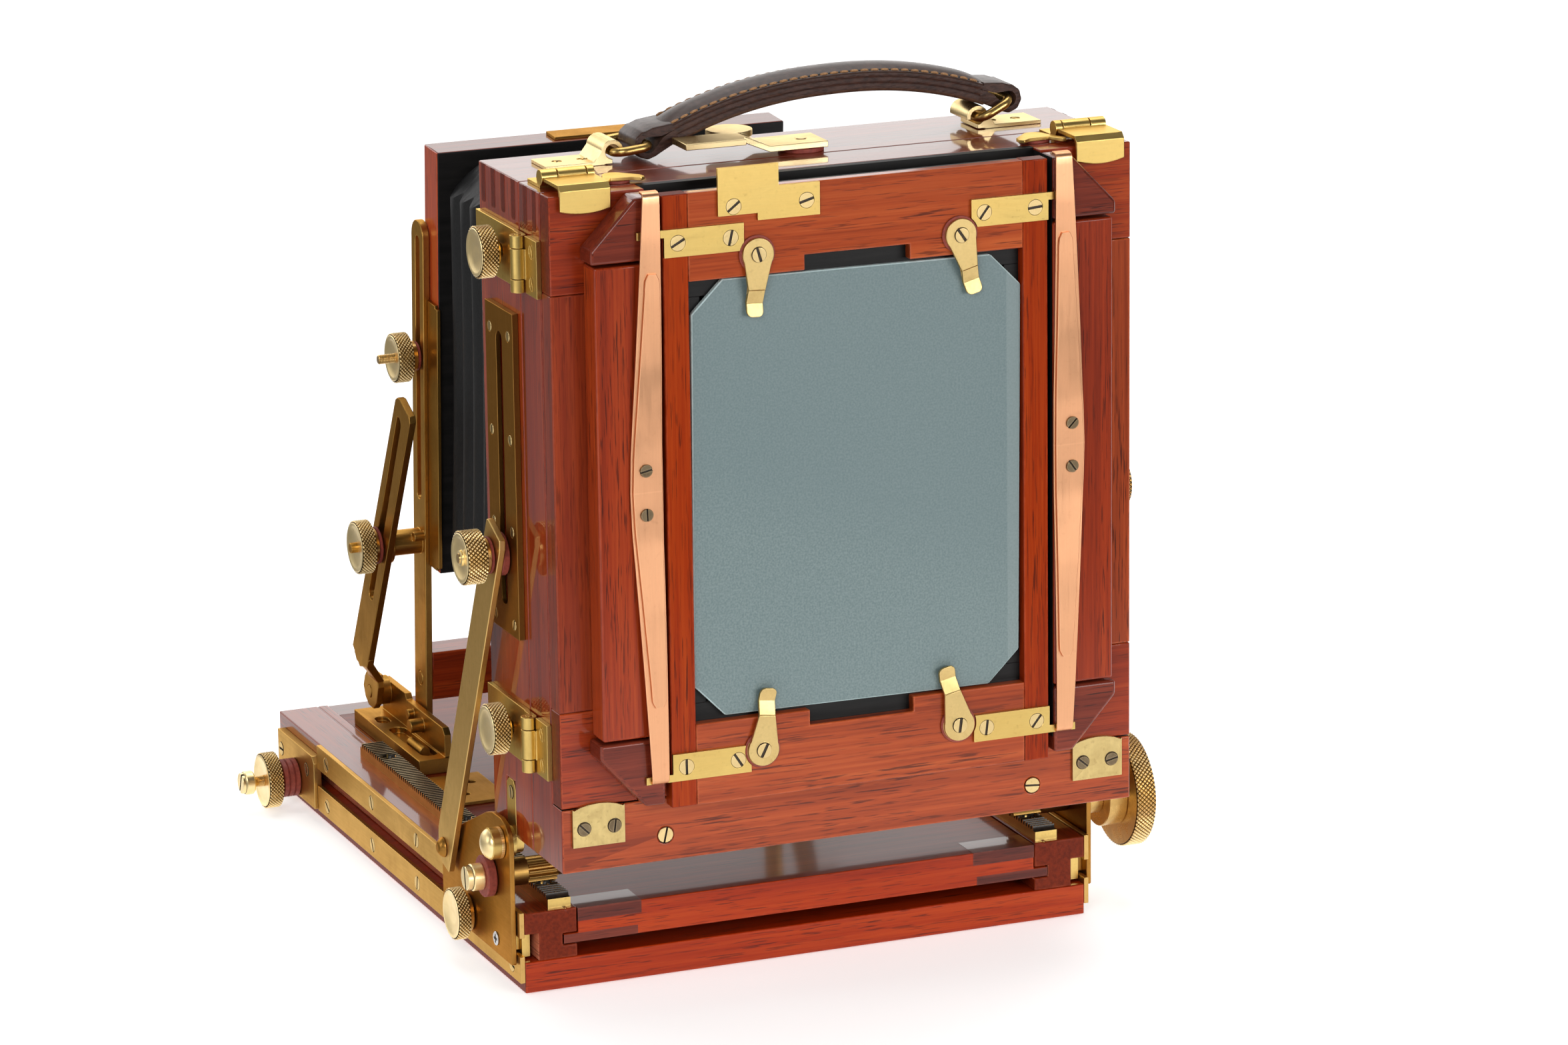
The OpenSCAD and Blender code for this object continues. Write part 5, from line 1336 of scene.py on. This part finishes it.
# end loops: the strap turns round the wire and runs back into the grip
for s, (hx, hz) in ((-1, HA), (1, HB)):
    x, z, tx, tz, nx, nz = h_frame(s * 0.93)
    C, o, nn_ = Vector((hx, hz)), Vector((s * tx, s * tz)), Vector((nx, nz))
    ro, ri = 4.12, 2.32
    outer = [C - o * 9.0 + nn_ * 2.1, C - o * 6.2 + nn_ * 3.0, C - o * 3.4 + nn_ * 3.85]
    inner = [C - o * 8.9 + nn_ * 0.12, C - o * 6.6 + nn_ * 0.2, C - o * 4.7 + nn_ * 0.35]
    for i in range(31):
        t = (104 - 208 * i / 30) * D2R
        wv = 1 + 0.022 * math.sin(i * 1.1)
        outer.append(C + (o * math.cos(t) + nn_ * math.sin(t)) * ro * wv)
        t = (118 - 236 * i / 30) * D2R
        inner.append(C + (o * math.cos(t) + nn_ * math.sin(t)) * ri)
    outer += [C - o * 3.4 - nn_ * 3.9, C - o * 6.2 - nn_ * 3.75, C - o * 9.0 - nn_ * 3.6]
    inner += [C - o * 4.7 - nn_ * 0.3, C - o * 6.6 - nn_ * 0.05, C - o * 8.9 + nn_ * 0.08]
    bm = bmesh.new()
    lay = []
    for yy, k in ((-7.0, 0.42), (-6.8, 0.14), (-6.4, 0.0), (6.4, 0.0), (6.8, 0.14), (7.0, 0.42)):
        mid = [(p + q) / 2 for p, q in zip(outer, inner)]
        ov = [bm.verts.new(((p + (m_ - p).normalized() * k).x, 40.7 + yy, (p + (m_ - p).normalized() * k).y)) for p, m_ in zip(outer, mid)]
        iv = [bm.verts.new((p.x, 40.7 + yy, p.y)) for p in inner]
        lay.append((ov, iv))
    nl = len(outer)
    for (oa, ia), (ob_, ib) in zip(lay, lay[1:]):
        for i in range(nl - 1):
            bm.faces.new((oa[i], oa[i + 1], ob_[i + 1], ob_[i])).material_index = 0
            bm.faces.new((ia[i], ib[i], ib[i + 1], ia[i + 1])).material_index = 2
        bm.faces.new((oa[0], ob_[0], ib[0], ia[0])).material_index = 1
        bm.faces.new((oa[-1], ia[-1], ib[-1], ob_[-1])).material_index = 1
    for oa, ia in (lay[0], lay[-1]):
        for i in range(nl - 1):
            bm.faces.new((oa[i], ia[i], ia[i + 1], oa[i + 1])).material_index = 1
    bmesh.ops.recalc_face_normals(bm, faces=bm.faces)
    finish_mesh("handle_loop_" + ("left" if s < 0 else "right"), bm, [leather, leather_raw, leather_under], "handle", ("handle",), angle=62)
# stitching: short slack threads along both edges
bm = bmesh.new()
length = [0.0]
us = [-0.86 + 1.72 * i / 400 for i in range(401)]
pp = [h_at(u) for u in us]
for a, b in zip(pp, pp[1:]):
    length.append(length[-1] + math.hypot(b[0] - a[0], b[1] - a[1]))
pitch_s = 3.1
n = int(length[-1] / pitch_s)


def u_at(l):
    for i in range(len(length) - 1):
        if length[i + 1] >= l:
            f = (l - length[i]) / (length[i + 1] - length[i])
            return us[i] + (us[i + 1] - us[i]) * f
    return us[-1]


for side in (-1, 1):
    for i in range(n):
        pts = []
        for k in range(7):
            f = k / 6
            u = u_at((i + 0.10 + 0.80 * f) * pitch_s)
            x, z, tx, tz, nx, nz = h_frame(u)
            hgt = 1.74 + 0.26 * math.sin(math.pi * f)
            yy = side * (5.75 + 0.22 * math.sin(math.pi * f))
            pts.append((x + nx * hgt, 40.7 + yy, z + nz * hgt))
        tube(bm, pts, 0.44, 6, closed=False)
        # the awl hole between this stitch and the next, drawn as a small near-black bead: painted shade
        x, z, tx, tz, nx, nz = h_frame(u_at((i + 1.0) * pitch_s))
        h0 = len(bm.verts)
        bmesh.ops.create_icosphere(bm, subdivisions=1, radius=0.5, matrix=Matrix.Translation((x + nx * 1.72, 40.7 + side * 5.8, z + nz * 1.72)))
        bm.verts.ensure_lookup_table()
        for f in {f for v in bm.verts[h0:] for f in v.link_faces}:
            f.material_index = 1
bmesh.ops.recalc_face_normals(bm, faces=bm.faces)
finish_mesh("handle_stitching", bm, [thread, hole_shade_black], "handle", ("handle",), angle=80)


# --------------------------------------------------------------------- bellows
def mixv(a, b, t):
    return a + (b - a) * t


BY0, BY1, FOLDS = 24.0, 187.2, 13


def bellows_ring(y, phase, inset):
    """Closed outline at y. phase 0 is a valley, 1 a ridge; inset draws the inner skin."""
    t = (y - BY0) / (BY1 - BY0)
    w = mixv(71, 54.5, t) - 3.0 * (1 - phase) - inset
    h = mixv(80, 62.5, t) - 3.0 * (1 - phase) - inset
    zc = mixv(146.5, 151, t)
    c = mixv(4.2, 9.5, phase)
    k = t * math.sin(LEAN)
    pts = []
    corners = [(w - c, -h), (w, -h + c), (w, h - c), (w - c, h), (-w + c, h), (-w, h - c), (-w, -h + c), (-w + c, -h)]
    sub = [6, 1, 2, 1, 6, 1, 2, 1]
    for i in range(8):
        a, b = corners[i], corners[(i + 1) % 8]
        nn = {0: 2, 1: 10, 2: 2, 3: 9, 4: 2, 5: 10, 6: 2, 7: 9}[i]
        for q in range(nn):
            f = q / nn
            x, z = a[0] + (b[0] - a[0]) * f, a[1] + (b[1] - a[1]) * f
            # long sides belly a little between the corners
            if nn > 4:
                bow = math.sin(math.pi * f) * 0.7 * phase
                if i in (1,):
                    x += -bow
                if i in (5,):
                    x -= -bow
                if i == 3:
                    z += -bow
                if i == 7:
                    z -= -bow
            pts.append((x, y - k * z, zc + z))
    return pts


# ridge profile with rounded creases: list of (fraction of a fold, phase)
PROF = [(0.0, 0.0), (0.05, 0.06), (0.16, 0.36), (0.28, 0.70), (0.40, 0.94), (0.455, 1.0), (0.5, 1.02), (0.545, 1.0), (0.60, 0.94), (0.72, 0.70), (0.84, 0.36), (0.95, 0.06)]
SEG = [("back_swing", "rear_body", 24.0, 27.0), ("rear_body", "rear_carriage", 27.0, 54.5), ("rear_carriage", "base", 54.5, 131.0),
       ("base", "front_bed", 131.0, 155.0), ("front_bed", "front_standard", 155.0, 172.5), ("front_standard", "lens_panel", 172.5, 187.2)]
ys = []
pf = (BY1 - BY0) / FOLDS
for i in range(FOLDS):
    for f, ph in PROF:
        ys.append((BY0 + (i + f) * pf, ph))
ys.append((BY1, 0.0))


def bell_at(y):
    q = (y - BY0) / pf
    f = q - math.floor(q)
    return lerp(PROF + [(1.0, 0.0)], f)


for i, (a, b, y0, y1) in enumerate(SEG):
    lv = [y0] + [y for y, ph in ys if y0 + 0.05 < y < y1 - 0.05] + [y1]
    bm = bmesh.new()
    outr, innr = [], []
    for y in lv:
        ph = bell_at(y)
        outr.append([bm.verts.new(p) for p in bellows_ring(y, ph, 0.0)])
        innr.append([bm.verts.new(p) for p in bellows_ring(y, ph, 0.8)])
    nn = len(outr[0])
    for (oa, ia), (ob_, ib) in zip(zip(outr, innr), zip(outr[1:], innr[1:])):
        for k in range(nn):
            j = (k + 1) % nn
            bm.faces.new((oa[k], oa[j], ob_[j], ob_[k]))
            bm.faces.new((ia[k], ib[k], ib[j], ia[j]))
    for oa, ia in ((outr[0], innr[0]), (outr[-1], innr[-1])):
        for k in range(nn):
            j = (k + 1) % nn
            bm.faces.new((oa[k], ia[k], ia[j], oa[j]))
    bmesh.ops.recalc_face_normals(bm, faces=bm.faces)
    ob = finish_mesh("bellows_%d" % i, bm, [cloth], None, ("bellows",), angle=50)
    # the extents of the leaning end rings, and a split point where they meet, are worked out here but not used
    lo0 = max(p[1] for p in bellows_ring(y0, 0, 0))
    hi1 = min(p[1] for p in bellows_ring(y1, 0, 0))
    if hi1 - lo0 < 1.0:
        mid = (lo0 + hi1) / 2
        lo0, hi1 = mid - 0.6, mid + 0.6
    P(0, lo0, 150)
    P(0, hi1, 150)
    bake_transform(ob)


# ---------------------------------------------------------------- floor, light
bm = bmesh.new()
R = 9.0
v = [bm.verts.new(p) for p in ((-R, -R, -0.0006), (R, -R, -0.0006), (R, R, -0.0006), (-R, R, -0.0006))]
bm.faces.new(v)
me = bpy.data.meshes.new("floor")
bm.to_mesh(me)
bm.free()
fm, nt, bs = new_mat("floor_paper")
g = G(nt)
fn = g.noise(g.coords(), 6, 2)
tcf = g.n("TexCoord")
spf = g.n("SeparateXYZ")
g.link(tcf.outputs["Object"], spf.inputs[0])
# plain and pale wherever it is looked at; what the object itself gets from it, as bounce and reflection,
# is white below and behind, and greyer towards the viewer's side of the table, as with black cards laid there
front = g.ramp(g.range(g.math("ADD", spf.outputs[1], g.math("MULTIPLY", spf.outputs[0], -0.40)), -0.72, -0.30), [(0.0, 0.0), (1.0, 1.0)], "EASE")
rear_left = g.math("MULTIPLY", g.range(spf.outputs[1], -0.20, 0.03), g.range(spf.outputs[0], -0.105, -0.160))
front = g.math("MULTIPLY", front, g.range(rear_left, 0.0, 1.0, 1.0, 0.10))
seen = g.n("LightPath").outputs["Is Camera Ray"]
white = g.mix(fn, (0.86, 0.86, 0.86), (0.87, 0.87, 0.87))
g.link(g.mix(seen, g.mix(front, (0.10, 0.10, 0.10), (0.805, 0.805, 0.805)), white), bs.inputs["Base Color"])
bs.inputs["Roughness"].default_value = 0.9
bs.inputs["Specular IOR Level"].default_value = 0.1
bs.inputs["Emission Color"].default_value = (1, 1, 1, 1)
em = g.math("ADD", g.math("MULTIPLY", g.math("SUBTRACT", 1.0, seen), g.math("MULTIPLY", front, 0.62)), g.math("MULTIPLY", seen, 0.50))
g.link(em, bs.inputs["Emission Strength"])
me.materials.append(fm)
floor = bpy.data.objects.new("floor", me)
bpy.context.scene.collection.objects.link(floor)

sc = bpy.context.scene
wd = bpy.data.worlds.new("studio")
sc.world = wd
wd.use_nodes = True
nt = wd.node_tree
nt.nodes.clear()
g = G(nt)
out = nt.nodes.new("ShaderNodeOutputWorld")
bg = nt.nodes.new("ShaderNodeBackground")
tc = g.n("TexCoord")
sep = g.n("SeparateXYZ")
g.link(tc.outputs["Generated"], sep.inputs[0])
# brighter high up and behind the camera's subject, greyer low on the left
fw = g.ramp(g.range(sep.outputs[1], -0.35, 0.55), [(0.0, 0.12), (0.5, 0.40), (1.0, 0.75)])
up = g.range(sep.outputs[2], 0.25, 0.9, 1.0, 0.55)
dv = g.n("VectorMath", operation="DOT_PRODUCT")
g.link(tc.outputs["Generated"], dv.inputs[0])
dv.inputs[1].default_value = Vector((0.37, 0.88, 0.30)).normalized()
blob = g.ramp(g.range(dv.outputs["Value"], 0.74, 0.97), [(0.0, 0.0), (1.0, 1.0)], "EASE")
tot = g.math("ADD", g.math("MULTIPLY", fw, up), g.math("MULTIPLY", blob, 1.15))
g.link(tot, bg.inputs["Strength"])
bg.inputs["Color"].default_value = (1.0, 0.985, 0.965, 1)
nt.links.new(bg.outputs[0], out.inputs[0])


def area(name, loc, target, sx, sy, power, color=(1, 1, 1)):
    l = bpy.data.lights.new(name, "AREA")
    l.shape = "RECTANGLE"
    l.size, l.size_y = sx, sy
    l.energy = power
    l.color = color
    o = bpy.data.objects.new(name, l)
    sc.collection.objects.link(o)
    o.location = loc
    d = Vector(target) - Vector(loc)
    o.rotation_euler = d.to_track_quat("-Z", "Y").to_euler()
    return o


area("key", (-1.05, -1.65, 1.0), (0, 0, 0.12), 0.9, 0.8, 16)
area("fill", (0.75, -1.65, 0.42), (0, 0, 0.12), 1.1, 0.6, 17)
area("top", (0.25, 0.35, 1.6), (0, 0.0, 0.1), 1.2, 0.9, 10)
area("side", (-1.7, 0.0, 0.75), (0, 0.05, 0.12), 0.4, 0.8, 4)
area("front", (-0.8, 1.6, 0.9), (0, 0.05, 0.12), 0.9, 0.8, 4)

# ---------------------------------------------------------------------- camera
az, el, roll = 22.16 * D2R, 14.9 * D2R, -0.74 * D2R
F = Vector((math.sin(az) * math.cos(el), math.cos(az) * math.cos(el), -math.sin(el)))
r = Vector((math.cos(az), -math.sin(az), 0))
u = r.cross(F)
cc, ss = math.cos(roll), math.sin(roll)
r2 = cc * r + ss * u
u2 = -ss * r + cc * u
cam = bpy.data.cameras.new("camera")
cam.lens = 151.09
cam.sensor_width = 36
cam.sensor_fit = "HORIZONTAL"
cam.clip_start = 0.01
cam.clip_end = 100
co = bpy.data.objects.new("camera", cam)
sc.collection.objects.link(co)
m = Matrix.Identity(4)
for i in range(3):
    m[i][0], m[i][1], m[i][2] = r2[i], u2[i], -F[i]
m.translation = Vector((-0.70059, -1.81790, 0.62186))
co.matrix_world = m
sc.camera = co
sc.view_settings.view_transform = "Standard"
sc.view_settings.look = "None"
